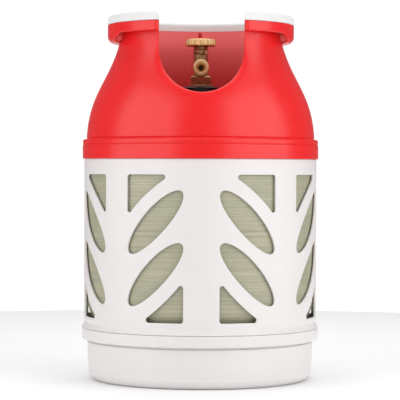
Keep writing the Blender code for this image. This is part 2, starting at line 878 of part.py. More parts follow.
def check_insert():
    """A guide ring with a hub on three ribs; its back face is the seat of the check poppet."""
    length = (16.6, 19.7)
    ring = [(3.35, length[1]), (3.35, length[0]), (2.75, length[0]), (2.75, length[1])]
    insert = turned("check_insert", ring, SMALL_STEPS, brass())
    hub_profile = [(1.75, 19.2), (1.75, length[0] + 0.2), (1.15, length[0] + 0.2), (1.15, 19.2)]
    helpers = [turned("insert_hub", hub_profile, SMALL_STEPS, None, CUTTERS)]
    for index in range(3):
        turn = math.radians(90.0 + 120.0 * index)
        along = (math.cos(turn), math.sin(turn))
        across = (-along[1] * 0.4, along[0] * 0.4)
        corners = ((1.4, 1), (1.4, -1), (3.0, -1), (3.0, 1))
        flat = [
            (along[0] * reach + across[0] * side, along[1] * reach + across[1] * side)
            for reach, side in corners
        ]
        rings = [[(x, y, z) for x, y in flat] for z in (length[0] + 0.5, 19.0)]
        helpers.append(lofted(f"insert_rib_{index}", rings, None, CUTTERS))
    for helper in helpers:
        aim(helper, (0.0, 0.0, OUTLET_HEIGHT), (0.0, -1.0, 0.0))
        join(insert, helper)
    aim(insert, (0.0, 0.0, OUTLET_HEIGHT), (0.0, -1.0, 0.0))


def check_poppet():
    """The poppet that a mating pin pushes back to let gas out."""
    profile = [
        (0.0, 18.9),
        (0.6, 18.9),
        (0.85, 18.6),
        (0.85, 16.3),
        (2.9, 16.3),
        (3.2, 15.9),
        (3.2, 14.4),
        (1.9, 14.4),
        (1.9, 13.4),
        (0.0, 13.4),
    ]
    poppet = turned("check_poppet", profile, SMALL_STEPS, brass(), closed=False)
    aim(poppet, (0.0, 0.0, OUTLET_HEIGHT), (0.0, -1.0, 0.0))


def coil(name, radius, wire_radius, start, end, turns, height, direction):
    per_turn = 8
    count = int(turns * per_turn)
    path = []
    for index in range(count + 1):
        turn = 2 * math.pi * index / per_turn
        rise = start + (end - start) * index / count
        path.append((radius * math.cos(turn), radius * math.sin(turn), rise))
    aim(wire(name, path, wire_radius, spring_steel()), (0.0, 0.0, height), direction)


def relief_poppet():
    profile = [(0.0, 10.9), (1.0, 10.9), (1.0, 10.4), (1.85, 10.4), (1.85, 9.7), (0.0, 9.7)]
    poppet = turned("relief_poppet", profile, SMALL_STEPS, brass(), closed=False)
    aim(poppet, (0.0, 0.0, RELIEF_HEIGHT), relief_direction())


def relief_cap():
    """The vented plug that holds the relief spring in its boss."""
    profile = [
        (0.8, 14.2),
        (1.6, 14.2),
        (1.95, 13.9),
        (1.95, 12.7),
        (0.8, 12.7),
    ]
    cap = turned("relief_cap", profile, SMALL_STEPS, brass())
    aim(cap, (0.0, 0.0, RELIEF_HEIGHT), relief_direction())


def build():
    clear_scene()
    opening = opening_cutter()
    upper_casing(opening)
    handle_trim(opening)
    lattice_casing()
    base_casing()
    support_plate()
    glass_fibre_winding()
    liner()
    neck_boss()
    tail_boss()
    neck_collar()
    o_ring("boss_o_ring", 14.0, 0.85, 375.45)
    valve_body()
    gland_nut()
    gland_washer()
    spindle()
    o_ring("spindle_o_ring_upper", 3.65, 0.62, 422.05)
    o_ring("spindle_o_ring_lower", 3.65, 0.62, 417.65)
    seat_plug()
    seat_disc()
    handwheel()
    handwheel_washer()
    handwheel_nut()
    check_insert()
    check_poppet()
    coil("check_spring", 2.55, 0.3, 9.85, 13.75, 3.5, OUTLET_HEIGHT, (0.0, -1.0, 0.0))
    relief_poppet()
    coil("relief_spring", 1.45, 0.2, 10.95, 12.2, 3.0, RELIEF_HEIGHT, relief_direction())
    relief_cap()


build()
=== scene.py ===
"""The looks of the composite gas bottle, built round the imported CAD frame.

Lengths are in millimetres and angles in degrees; the mesh helpers convert to metres.
+Z is up, the front opening and the valve outlet face -Y, and angles round the bottle start at the
front and run towards +X.
"""

import math

import bmesh
import bpy
from mathutils import Matrix, Quaternion, Vector


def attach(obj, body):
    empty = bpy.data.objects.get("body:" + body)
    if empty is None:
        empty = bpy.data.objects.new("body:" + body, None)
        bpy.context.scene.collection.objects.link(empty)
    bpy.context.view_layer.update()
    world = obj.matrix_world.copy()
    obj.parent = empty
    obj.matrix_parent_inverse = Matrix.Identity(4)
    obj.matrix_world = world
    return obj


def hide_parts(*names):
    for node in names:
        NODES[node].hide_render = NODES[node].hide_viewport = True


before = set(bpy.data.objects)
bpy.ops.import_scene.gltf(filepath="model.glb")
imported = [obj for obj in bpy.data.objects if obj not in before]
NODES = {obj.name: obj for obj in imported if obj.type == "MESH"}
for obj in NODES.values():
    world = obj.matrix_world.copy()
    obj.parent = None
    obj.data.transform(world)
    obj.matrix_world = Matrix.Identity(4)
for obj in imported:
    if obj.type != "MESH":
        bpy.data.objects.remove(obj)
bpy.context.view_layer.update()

MM = 0.001
FULL_TURN = 360.0
SHARP_ANGLE = 32.0

# Upper casing
BAND_RADIUS = 152.5
BAND_BOTTOM = 284.1
CASING_WALL = 3.0
CASING_STEP = 2.5
DOME_FOOT = 311.4
DOME_CURVE = ((147.4, 311.0), (143.9, 371.6), (117.7, 382.6), (103.2, 440.0))
NECK_RADIUS = 104.6
NECK_BLEND = 0.6
RIM_TOP = 456.0
RIM_RADIUS = 120.5
RIM_PLATE = 3.0
RIM_PLATE_INNER = 103.6

# Front opening of the upper casing and of the trim
OPENING_HALF_WIDTH = 53.2
OPENING_CENTRE = 420.4
ROLL_RADIUS = 30.0
ROLL_ANGLE = 17.0
LIP_RADIUS = 1.4
LIP_ANGLE = 100.0
RIM_END_ROUNDING = 7.0
WINDOW_ANGLE = 45.0
WINDOW_BOTTOM = 345.0
RIM_STEPS = 240
WALL_CUT = (96.0, 112.0)

# Skirt under the rim, which lengthens and curls in to make the hand grips
SKIRT_TOP = RIM_TOP - 0.4
SKIRT_WALL = 3.0
SKIRT_LENGTH = 10.8
GRIP_STRAIGHT = 14.0
GRIP_CURL_RADIUS = 8.6
GRIP_FLAT = 7.4
GRIP_FRONT_ANGLE = 57.0
GRIP_FRONT_EASE = 27.0
GRIP_BACK_ANGLE = 126.0
GRIP_BACK_EASE = 12.0
HAND_SLOT = {"front": 75.0, "back": 121.0, "bottom": 436.6, "top": 451.2, "corner": 5.0}

# Trim on the rim
TRIM_BOTTOM = 456.3
TRIM_TOP = 468.1
TRIM_INNER_RADIUS = 104.3
TRIM_EDGE = 4.6
TRIM_END_ROUNDING = 6.5

# Lattice casing
LATTICE_RADIUS = 150.3
LATTICE_WALL = 3.0
LATTICE_TOP = 283.8
LATTICE_BOTTOM = 79.0
SECTOR_ANGLE = 45.0
LEAF_CENTRE_ANGLE = 22.9
LEAF_HALF_LENGTH = 52.0
LEAF_HALF_WIDTH = 16.0
LEAF_TILT = 46.5
LEAF_HEIGHTS = (141.25, 205.6)
TOP_WINDOW = ((37.6, 264.2), (14.5, 264.2), (37.6, 212.6))
BOTTOM_WINDOW = ((8.55, 82.3), (29.7, 82.3), (8.55, 133.8))
WINDOW_BOW = 3.0
WINDOW_CORNER = 3.2
WINDOW_EDGE = 0.9

# Base casing
PARTING_HEIGHT = 67.2
BASE_RING_RADIUS = 152.8
RECESS_RADIUS = 123.5
RECESS_HEIGHT = 14.0

# Vessel
WINDING_RADIUS = 146.0
VESSEL_BOTTOM = 105.0
VESSEL_TOP = 288.0
TOP_DOME_HEIGHT = 76.0
BOTTOM_DOME_HEIGHT = 81.0

# Valve
OUTLET_HEIGHT = 400.9
OUTLET_RADIUS = 10.75
OUTLET_REACH = 30.0
MACHINED_REACH = 12.0
HEXAGON_FLATS = 25.8
RELIEF_ANGLE = 31.0
RELIEF_HEIGHT = 421.3
WHEEL_RADIUS = 20.0
WHEEL_FLUTES = 20

# Inner face of the upper casing, with its heights in metres: both reds are lightened copies of the red
# plastic that paint in light, and the paler one is a painted sheen near the rim
SHEEN_PAINTED_RED = (0.96, 0.165, 0.165)
LIGHTENED_LOW_RED = (0.95, 0.03, 0.045)
SHEEN_HEIGHTS = (0.365, 0.430)

# Camera and light, in metres
CAMERA_DISTANCE = 2.44
CAMERA_ANGLE = -0.65
CAMERA_HEIGHT = 0.2693
CAMERA_TARGET = (-0.0004, 0.0, 0.2310)
CAMERA_ROLL = 0.2
CAMERA_LENS = 169.3
CAMERA_SENSOR = 36.0
SOFTBOX_ANGLE = 57.0
SOFTBOX_DISTANCE = 1.5
SOFTBOX_WIDTH = 1.95
SOFTBOX_HEIGHT = 1.8
SOFTBOX_LIFT = 0.03
TOP_PLACE = (0.0, 0.6, 2.5)
TOP_TARGET = (0.0, 0.0, 0.45)
TOP_SIZE = 2.2
LEFT_RADIANCE = 1.78
RIGHT_RADIANCE = 2.04
TOP_RADIANCE = 2.7
BACKDROP_ANGLES = (10.0, 17.0)
BACKDROP_STRENGTH = 0.95
FRONT_FILL = 0.40
BACK_FILL = 0.16
FLOOR_RADIUS = 1.2
FLOOR_COLOUR = (0.94, 0.94, 0.94)


# ---- Shape helpers ----


def evenly(low, high, count):
    """Numbers from low to high, both included, in a count of equal steps."""
    return [low + (high - low) * index / count for index in range(count + 1)]


def arc(centre, radius, start, end, steps):
    """Points of an arc in a plane, from one angle to another."""
    turns = [math.radians(angle) for angle in evenly(start, end, steps)]
    return [(centre[0] + radius * math.cos(turn), centre[1] + radius * math.sin(turn)) for turn in turns]


def rounded(corners, radii, steps=4):
    """A closed outline with its corners rounded; a radius of 0 leaves a corner as it is."""
    found = []
    for index, (corner, radius) in enumerate(zip(corners, radii)):
        if not radius:
            found.append(tuple(corner))
            continue
        here = Vector(corner)
        back = (Vector(corners[index - 1]) - here).normalized()
        ahead = (Vector(corners[(index + 1) % len(corners)]) - here).normalized()
        half = back.angle(ahead) / 2
        centre = here + (back + ahead).normalized() * (radius / math.sin(half))
        start = here + back * (radius / math.tan(half)) - centre
        end = here + ahead * (radius / math.tan(half)) - centre
        for step in range(steps + 1):
            part = start.lerp(end, step / steps).normalized() * radius
            found.append(tuple(centre + part))
    return found


def softened(pairs, steps):
    """A closed outline from (corner, rounding radius) pairs."""
    return rounded([corner for corner, _ in pairs], [radius for _, radius in pairs], steps)


def around(radius, angle, height):
    """A point at an angle round the bottle from the front, in metres."""
    turn = math.radians(angle)
    return Vector((radius * math.sin(turn) * MM, -radius * math.cos(turn) * MM, height * MM))


def smooth_max(first, second, softness):
    half = (first - second) / 2
    return (first + second) / 2 + math.sqrt(half * half + softness * softness)


def smooth_step(part):
    part = min(1.0, max(0.0, part))
    return part * part * (3 - 2 * part)


class Patchwork:
    """A mesh put together from grids of points, welded where their edges meet."""

    def __init__(self):
        self.mesh = bmesh.new()

    def grid(self, rows, wrap=False):
        made = [[self.mesh.verts.new(point) for point in row] for row in rows]
        for low, high in zip(made, made[1:]):
            count = len(low)
            for index in range(count if wrap else count - 1):
                following = (index + 1) % count
                self.mesh.faces.new((low[index], low[following], high[following], high[index]))

    def cap(self, points):
        self.mesh.faces.new([self.mesh.verts.new(point) for point in points])

    def add(self, mesh):
        self.mesh.from_mesh(mesh)

    def finished(self, name, weld=0.00002):
        bmesh.ops.remove_doubles(self.mesh, verts=self.mesh.verts, dist=weld)
        bmesh.ops.dissolve_degenerate(self.mesh, edges=self.mesh.edges, dist=1e-7)
        bmesh.ops.recalc_face_normals(self.mesh, faces=self.mesh.faces)
        mesh = bpy.data.meshes.new(name)
        self.mesh.to_mesh(mesh)
        self.mesh.free()
        return mesh


def place(name, mesh, material, body, node):
    """Makes the mesh a shown piece that rides on a body and stands for a CAD node."""
    mesh.name = name
    mesh.materials.clear()
    mesh.materials.append(material)
    mesh.polygons.foreach_set("use_smooth", [True] * len(mesh.polygons))
    mesh.set_sharp_from_angle(angle=math.radians(SHARP_ANGLE))
    piece = bpy.data.objects.new(name, mesh)
    bpy.context.scene.collection.objects.link(piece)
    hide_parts(node)
    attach(piece, body)


def turned_mesh(name, profile, steps, axis=None):
    """A closed solid of revolution. Its closed profile lists (radius, height) points."""
    turns = [2 * math.pi * index / steps for index in range(steps)]
    rows = []
    for radius, z in profile + profile[:1]:
        reach = radius * MM
        row = [Vector((reach * math.cos(turn), reach * math.sin(turn), z * MM)) for turn in turns]
        rows.append([axis @ point if axis else point for point in row])
    work = Patchwork()
    work.grid(rows, wrap=True)
    return work.finished(name, weld=0.000005)


def turned_piece(name, profile, steps, material, node, body="bottle", axis=None):
    """A shown piece that is one solid of revolution."""
    place(name, turned_mesh(name, profile, steps, axis), material, body, node)


def axis_through(height, direction):
    """The matrix that turns +Z into a direction and moves the origin up the bottle's axis."""
    turn = Vector(direction).to_track_quat("Z", "Y").to_matrix().to_4x4()
    return Matrix.Translation((0.0, 0.0, height * MM)) @ turn


def stacked_mesh(name, rings):
    """A closed solid through rings of points in millimetres."""
    work = Patchwork()
    work.grid([[Vector(point) * MM for point in ring] for ring in rings], wrap=True)
    work.cap([Vector(point) * MM for point in rings[0]])
    work.cap([Vector(point) * MM for point in rings[-1]])
    return work.finished(name, weld=0.000002)


def temporary(mesh):
    thing = bpy.data.objects.new("temporary", mesh)
    bpy.context.scene.collection.objects.link(thing)
    return thing


def combined(mesh, others, operation, bevel=0.0, bevel_angle=35.0, segments=3):
    """The mesh joined with or cut by others, then with its sharp edges rounded."""
    base = temporary(mesh)
    helpers = [temporary(other) for other in others]
    for helper in helpers:
        boolean = base.modifiers.new("boolean", "BOOLEAN")
        boolean.operation = operation
        boolean.solver = "EXACT"
        boolean.object = helper
    if bevel:
        rounding = base.modifiers.new("bevel", "BEVEL")
        rounding.width = bevel * MM
        rounding.segments = segments
        rounding.limit_method = "ANGLE"
        rounding.angle_limit = math.radians(bevel_angle)
        rounding.use_clamp_overlap = True
    graph = bpy.context.evaluated_depsgraph_get()
    result = bpy.data.meshes.new_from_object(base.evaluated_get(graph))
    for thing in [base] + helpers:
        bpy.data.objects.remove(thing, do_unlink=True)
    return result


# ---- Materials ----


def map_range(tree, source, low, high, to_low, to_high):
    node = tree.nodes.new("ShaderNodeMapRange")
    labels = ("From Min", "From Max", "To Min", "To Max")
    for label, value in zip(labels, (low, high, to_low, to_high)):
        node.inputs[label].default_value = value
    tree.links.new(source, node.inputs["Value"])
    return node


class Shader:
    """A Principled material and the nodes that feed it."""

    def __init__(self, name, colour, roughness, metallic=0.0, **constants):
        self.material = bpy.data.materials.new(name)
        self.material.use_nodes = True
        self.tree = self.material.node_tree
        self.principled = self.tree.nodes["Principled BSDF"]
        self.principled.inputs["Base Color"].default_value = (*colour, 1.0)
        self.principled.inputs["Roughness"].default_value = roughness
        self.principled.inputs["Metallic"].default_value = metallic
        for label, value in constants.items():
            self.principled.inputs[label.replace("_", " ")].default_value = value
        self.material.diffuse_color = (*colour, 1.0)
        self.place = self.add("ShaderNodeTexCoord").outputs["Object"]

    def add(self, kind, **settings):
        node = self.tree.nodes.new(kind)
        for label, value in settings.items():
            setattr(node, label, value)
        return node

    def link(self, source, target):
        self.tree.links.new(source, target)

    def stretched(self, scale, turn=(0.0, 0.0, 0.0)):
        mapping = self.add("ShaderNodeMapping")
        mapping.inputs["Scale"].default_value = scale
        mapping.inputs["Rotation"].default_value = turn
        self.link(self.place, mapping.inputs["Vector"])
        return mapping.outputs["Vector"]

    def noise(self, scale, detail=3.0, roughness=0.5, where=None):
        texture = self.add("ShaderNodeTexNoise")
        texture.inputs["Scale"].default_value = scale
        texture.inputs["Detail"].default_value = detail
        texture.inputs["Roughness"].default_value = roughness
        self.link(where or self.place, texture.inputs["Vector"])
        return texture.outputs["Fac"]

    def math(self, operation, first, second=None):
        node = self.add("ShaderNodeMath", operation=operation)
        for socket, value in zip(node.inputs, (first, second)):
            if value is None:
                continue
            if isinstance(value, (int, float)):
                socket.default_value = value
            else:
                self.link(value, socket)
        return node.outputs[0]

    def spread(self, source, low, high, to_low=0.0, to_high=1.0):
        return map_range(self.tree, source, low, high, to_low, to_high).outputs["Result"]

    def split_place(self):
        """The X, Y and Z of the point being shaded."""
        split = self.add("ShaderNodeSeparateXYZ")
        self.link(self.place, split.inputs[0])
        return split.outputs

    def mix(self, factor, first, second):
        node = self.add("ShaderNodeMix", data_type="RGBA")
        sockets = [node.inputs[index] for index in (0, 6, 7)]
        for socket, value in zip(sockets, (factor, first, second)):
            if isinstance(value, (int, float)):
                socket.default_value = value
            elif isinstance(value, tuple):
                socket.default_value = (*value, 1.0)
            else:
                self.link(value, socket)
        return node.outputs[2]

    def finish(self, colour, roughness, heights, distance):
        """Links colour and roughness, and adds up (source, strength) bumps with the finest last."""
        self.link(colour, self.principled.inputs["Base Color"])
        self.link(roughness, self.principled.inputs["Roughness"])
        previous = None
        for source, strength in heights:
            node = self.add("ShaderNodeBump")
            node.inputs["Strength"].default_value = strength
            node.inputs["Distance"].default_value = distance
            self.link(source, node.inputs["Height"])
            if previous:
                self.link(previous, node.inputs["Normal"])
            previous = node.outputs["Normal"]
        self.link(previous, self.principled.inputs["Normal"])
        return self.material


def tinted(colour, factor):
    return tuple(min(1.0, value * factor) for value in colour)


def moulded_plastic(name, colour, roughness, specular, dirt):
    """Satin injection-moulded plastic: fine spark grain, faint flow marks and light handling wear."""
    shader = Shader(name, colour, roughness, Specular_IOR_Level=specular)
    grain = shader.noise(1500.0, 2.0, 0.6)
    flow = shader.noise(9.0, 3.0, 0.5, shader.stretched((1.0, 1.0, 0.35)))
    scuffs = shader.noise(70.0, 6.0, 0.7, shader.stretched((1.0, 1.0, 2.4), (0.3, 0.2, 0.0)))
    worn = shader.spread(scuffs, 0.50, 0.90)
    shade = shader.mix(shader.spread(flow, 0.1, 0.9), tinted(colour, 0.965), tinted(colour, 1.03))
    speck = shader.mix(shader.spread(grain, 0.35, 0.65, 0.0, 0.12), shade, tinted(colour, 0.86))
    # here only the dust colour rubbed into the scuffs
    dust_and_sheen = (0.46, 0.43, 0.40)
    scuffed = shader.mix(shader.math("MULTIPLY", worn, dirt), speck, dust_and_sheen)
    rough = shader.spread(flow, 0.1, 0.9, roughness - 0.04, roughness + 0.05)
    return shader.finish(scuffed, rough, [(grain, 0.07)], 0.0004)


def unpolished_plastic():
    """The inner face of the red casing, in painted light: a pale painted sheen near the rim and a
    lightened, fuller red low down.
    """
    shader = Shader("red_inside_painted_light", SHEEN_PAINTED_RED, 0.62, Specular_IOR_Level=0.5)
    grain = shader.noise(1200.0, 2.0, 0.6)
    cloud = shader.noise(18.0, 4.0, 0.6)
    reach = shader.math("ADD", shader.split_place()["Z"], shader.math("MULTIPLY", cloud, 0.006))
    # painted sheen: the colour fades from the lightened red low down to the pale sheen near the rim, along
    # a noisy boundary
    dust_and_sheen = shader.spread(reach, *SHEEN_HEIGHTS)
    red = shader.mix(dust_and_sheen, LIGHTENED_LOW_RED, SHEEN_PAINTED_RED)
    rough = shader.spread(cloud, 0.3, 0.7, 0.56, 0.68)
    return shader.finish(red, rough, [(cloud, 0.04), (grain, 0.09)], 0.0004)


def soft_rubber(name, colour, roughness, specular=0.3):
    """Soft moulded elastomer with a matt, slightly pebbled face."""
    shader = Shader(name, colour, roughness, Specular_IOR_Level=specular)
    pebble = shader.noise(900.0, 3.0, 0.6)
    cloud = shader.noise(24.0, 4.0, 0.6)
    mottled = shader.mix(shader.spread(cloud, 0.3, 0.7), tinted(colour, 0.96), colour)
    rough = shader.spread(cloud, 0.3, 0.7, roughness - 0.06, roughness + 0.05)
    return shader.finish(mottled, rough, [(cloud, 0.04), (pebble, 0.12)], 0.0004)


def wound_glass_fibre():
    """Resin-wetted glass roving: hoop strands round the wall over crossing helical ones."""
    shader = Shader("wound_glass_fibre", (0.37, 0.36, 0.245), 0.34, Specular_IOR_Level=0.5)
    place_parts = shader.split_place()
    height = place_parts["Z"]
    angle = shader.math("ARCTAN2", place_parts["Y"], place_parts["X"])

    def strands(slope, density, seed):
        """Streaks that run round the vessel while they climb by slope metres for each radian."""
        across = shader.math("ADD", height, shader.math("MULTIPLY", angle, slope))
        join = shader.add("ShaderNodeCombineXYZ")
        shader.link(shader.math("MULTIPLY", across, density), join.inputs["X"])
        shader.link(shader.math("MULTIPLY", shader.math("SINE", angle), 1.6), join.inputs["Y"])
        join.inputs["Z"].default_value = seed
        return shader.noise(1.0, 4.0, 0.65, join.outputs[0])

    hoops = strands(0.0, 900.0, 1.0)
    hoop_bands = strands(0.0006, 110.0, 4.0)
    rising = strands(0.10, 420.0, 9.0)
    falling = strands(-0.10, 420.0, 15.0)
    crossing = shader.math("MAXIMUM", rising, falling)
    streaks = strands(0.0002, 330.0, 21.0)
    pale = shader.mix(shader.spread(hoops, 0.36, 0.64), (0.285, 0.272, 0.183), (0.455, 0.43, 0.31))
    banded = shader.mix(shader.spread(hoop_bands, 0.40, 0.66, 0.0, 0.5), pale, (0.29, 0.30, 0.215))
    ribs = shader.spread(crossing, 0.60, 0.76, 0.0, 0.45)
    woven = shader.mix(ribs, banded, (0.60, 0.58, 0.47))
    streaked = shader.mix(shader.spread(streaks, 0.62, 0.72, 0.0, 0.6), woven, (0.22, 0.235, 0.12))
    resin = shader.noise(26.0, 4.0, 0.6)
    clouds = shader.spread(resin, 0.45, 0.8, 0.0, 0.5)
    clouded = shader.mix(clouds, streaked, (0.24, 0.245, 0.175))
    rough = shader.spread(hoops, 0.3, 0.7, 0.26, 0.46)
    return shader.finish(clouded, rough, [(hoop_bands, 0.35), (crossing, 0.30), (hoops, 0.45)], 0.0006)


def bare_metal(name, colour, dark, roughness, tarnish):
    """Metal with tarnish in patches and fine machining or casting grain."""
    shader = Shader(name, colour, roughness, metallic=1.0)
    patches = shader.noise(160.0, 5.0, 0.65)
    grain = shader.noise(1400.0, 3.0, 0.6)
    rings = shader.noise(700.0, 2.0, 0.5, shader.stretched((0.12, 0.12, 3.0)))
    worn = shader.spread(patches, 0.38, 0.66, 0.0, tarnish)
    toned = shader.mix(worn, colour, dark)
    ringed = shader.mix(shader.spread(rings, 0.4, 0.6, 0.0, 0.18), toned, dark)
    rough = shader.spread(patches, 0.35, 0.7, roughness - 0.07, roughness + 0.14)
    return shader.finish(ringed, rough, [(patches, 0.10), (rings, 0.10), (grain, 0.10)], 0.0003)


RED = moulded_plastic("red_moulded_plastic", (0.77, 0.0095, 0.0115), 0.29, 0.45, 0.04)
RED_INSIDE = unpolished_plastic()
WHITE = moulded_plastic("white_moulded_plastic", (0.72, 0.69, 0.685), 0.38, 0.45, 0.10)
TRIM = soft_rubber("soft_white_trim", (0.757, 0.752, 0.745), 0.62)
BLACK = moulded_plastic("black_moulded_plastic", (0.004, 0.004, 0.0045), 0.34, 0.35, 0.03)
WINDING = wound_glass_fibre()
BRASS = bare_metal("forged_brass", (0.50, 0.33, 0.17), (0.25, 0.15, 0.075), 0.50, 0.6)
BRASS_TURNED = bare_metal("machined_brass", (0.88, 0.58, 0.29), (0.60, 0.36, 0.16), 0.38, 0.30)
BRASS_CAST = bare_metal("cast_brass", (0.80, 0.55, 0.27), (0.58, 0.37, 0.16), 0.46, 0.35)
# painted shade: a dark brass for the guide and poppet deep in the outlet bore, standing in for their shadow
SHADE_DARKENED_BRASS = bare_metal("shade_darkened_brass", (0.24, 0.14, 0.06), (0.12, 0.06, 0.03), 0.50, 0.5)
STEEL = bare_metal("spring_steel_wire", (0.56, 0.56, 0.57), (0.30, 0.30, 0.31), 0.30, 0.4)
ALUMINIUM = bare_metal("turned_aluminium", (0.74, 0.75, 0.76), (0.50, 0.51, 0.52), 0.34, 0.4)
LINER = soft_rubber("natural_liner_plastic", (0.66, 0.66, 0.60), 0.45, 0.5)
SEAL = soft_rubber("black_seal_rubber", (0.012, 0.012, 0.012), 0.55, 0.4)


# ---- Upper casing ----


def dome_point(part):
    weights = ((1 - part) ** 3, 3 * (1 - part) ** 2 * part, 3 * (1 - part) * part**2, part**3)
    return tuple(sum(w * p[axis] for w, p in zip(weights, DOME_CURVE)) for axis in (0, 1))


def dome_radius(height):
    """Outer radius of the dome and the neck at a height."""
    low, high = 0.0, 1.2
    for _ in range(40):
        middle = (low + high) / 2
        if dome_point(middle)[1] < height:
            low = middle
        else:
            high = middle
    return smooth_max(dome_point(low)[0], NECK_RADIUS, NECK_BLEND)


def dome_surface(angle, height, depth=0.0):
    """A point on the dome, set in from its face by a depth, and the face's outward normal."""
    radius = dome_radius(height)
    slope = dome_radius(height + 0.5) - dome_radius(height - 0.5)
    turn = math.radians(angle)
    normal = Vector((math.sin(turn), -math.cos(turn), -slope)).normalized()
    point = Vector((radius * math.sin(turn), -radius * math.cos(turn), height))
    return point - normal * depth, normal


def rolled_edge(steps):
    """Section of the opening's rolled edge as (towards the opening, out of the wall) steps.

    It starts and ends on the wall, outer face first, and is measured from the roll's start.
    """
    centre = (0.0, -ROLL_RADIUS)
    lean = 90.0 - ROLL_ANGLE
    outer = arc(centre, ROLL_RADIUS, 90.0, lean, steps)
    lip_centre = arc(centre, ROLL_RADIUS - LIP_RADIUS, lean, lean, 1)[0]
    lip = arc(lip_centre, LIP_RADIUS, lean, 90.0 - LIP_ANGLE, steps)
    inner = arc(centre, ROLL_RADIUS - CASING_WALL, lean, 90.0, steps)
    return outer + lip[1:] + inner


def opening_edge(grow, count):
    """(x, height) points of the front opening, grown outwards, from its top left to its top right."""
    half = OPENING_HALF_WIDTH + grow
    straight = RIM_TOP - OPENING_CENTRE
    bend = math.pi * half
    found = []
    for along in evenly(0.0, 2 * straight + bend, count):
        if along < straight:
            found.append((-half, RIM_TOP - along))
        elif along < straight + bend:
            turn = math.pi + (along - straight) / half
            found.append((half * math.cos(turn), OPENING_CENTRE + half * math.sin(turn)))
        else:
            found.append((half, OPENING_CENTRE + along - straight - bend))
    return found


def band_profiles():
    """Outer and inner points of the band, its groove, its bead and the shoulder, bottom first."""
    outer = [(BAND_RADIUS - 0.5, BAND_BOTTOM), (BAND_RADIUS, BAND_BOTTOM + 0.5)]
    outer += [(BAND_RADIUS, 290.0), (BAND_RADIUS, 297.0), (BAND_RADIUS, 301.4)]
    outer += [(152.2, 301.8), (151.6, 302.2), (151.6, 302.7), (152.1, 303.1), (152.2, 303.6)]
    outer += arc((149.6, 306.5), 2.6, 0.0, 78.0, 6)
    outer += [(148.6, 309.3), (147.4, 309.6), (146.9, 310.2), (147.1, 310.9)]
    inside = BAND_RADIUS - CASING_WALL
    inner = [(inside + 0.4, BAND_BOTTOM), (inside, BAND_BOTTOM + 0.5)]
    inner += [(inside, 290.0), (inside, 297.0), (inside, 302.0)]
    inner += arc((147.4, 302.4), 2.0, 4.0, 75.0, 6)
    inner += [(146.9, 305.2), (146.0, 306.2), (145.2, 307.4), (144.8, 308.8), (144.5, 310.2)]
    return outer, inner


def on_dome(places, depth):
    """Points in metres on the dome at (angle, height) places."""
    return [dome_surface(angle, height, depth)[0] * MM for angle, height in places]


def band_and_back(work, heights):
    """The band, the foot of the dome, and the dome and neck outside the front window."""
    full = evenly(0.0, FULL_TURN, int(FULL_TURN / CASING_STEP))
    behind = [angle for angle in full if WINDOW_ANGLE <= angle <= FULL_TURN - WINDOW_ANGLE]
    bottom_rings = []
    for band, depth in zip(band_profiles(), (0.0, CASING_WALL)):
        rows = [[around(radius, angle, height) for angle in full] for radius, height in band]
        bottom_rings.append(rows[0])
        for height in evenly(DOME_FOOT, WINDOW_BOTTOM, 9):
            rows.append(on_dome([(angle, height) for angle in full], depth))
        work.grid(rows)
        work.grid([on_dome([(angle, height) for angle in behind], depth) for height in heights])
    work.grid(bottom_rings)


def window_outline(heights):
    """(angle, height) places down one side of the front window, along its foot and up again."""
    across = evenly(-WINDOW_ANGLE, WINDOW_ANGLE, int(2 * WINDOW_ANGLE / CASING_STEP))
    places = [(-WINDOW_ANGLE, height) for height in reversed(heights)]
    places += [(angle, WINDOW_BOTTOM) for angle in across[1:-1]]
    return places + [(WINDOW_ANGLE, height) for height in heights]


def turn_at(x, height):
    """The angle round the dome at a sideways distance from its middle."""
    return math.degrees(math.asin(x / dome_radius(height)))


def front_window(work, heights):
    """The wall between the window's outline and the opening, and the opening's rolled edge."""
    window = window_outline(heights)
    count = len(window) - 1
    roll = rolled_edge(7)
    reach = max(ahead for ahead, _ in roll)
    edge = [(turn_at(x, height), height) for x, height in opening_edge(reach, count)]
    for depth in (0.0, CASING_WALL):
        rows = []
        for part in evenly(0.0, 1.0, 9):
            places = [(a + (c - a) * part, b + (d - b) * part) for (a, b), (c, d) in zip(window, edge)]
            rows.append(on_dome(places, depth))
        work.grid(rows)
    sections = []
    a_step_on = opening_edge(reach - 1.0, count)
    for (angle, height), (x, z) in zip(edge, a_step_on):
        point, normal = dome_surface(angle, height)
        ahead = dome_surface(turn_at(x, z), z)[0] - point
        ahead = (ahead - normal * ahead.dot(normal)).normalized()
        sections.append([(point + ahead * along + normal * out) * MM for along, out in roll])
    work.grid(sections)


def casing_shell():
    """The red wall with its band, dome and neck, and the front opening's rolled edge."""
    work = Patchwork()
    heights = evenly(WINDOW_BOTTOM, RIM_TOP, 30)
    band_and_back(work, heights)
    front_window(work, heights)
    bmesh.ops.remove_doubles(work.mesh, verts=work.mesh.verts, dist=0.00002)
    open_edges = [found for found in work.mesh.edges if found.is_boundary]
    bmesh.ops.holes_fill(work.mesh, edges=open_edges, sides=0)
    return work.finished("casing_shell")


def slot_cutter(side):
    """A curved bar with rounded ends that opens the wall behind a hand grip."""
    slot = HAND_SLOT
    span = slot["back"] - slot["front"]
    corner = slot["corner"]
    inside, outside = WALL_CUT
    rings = []
    for part in evenly(0.0, 1.0, 36):
        eased = 0.5 - 0.5 * math.cos(math.pi * part)
        angle = side * (slot["front"] + span * eased)
        reach = min(corner, min(eased, 1 - eased) * math.radians(span) * NECK_RADIUS)
        inset = 0.95 * roll_in(reach, corner)
        low, high = slot["bottom"] + inset, slot["top"] - inset
        section = [(inside, low), (outside, low), (outside, high), (inside, high)]
        rings.append([around(radius, angle, z) / MM for radius, z in section])
    return stacked_mesh("slot_cutter", rings)


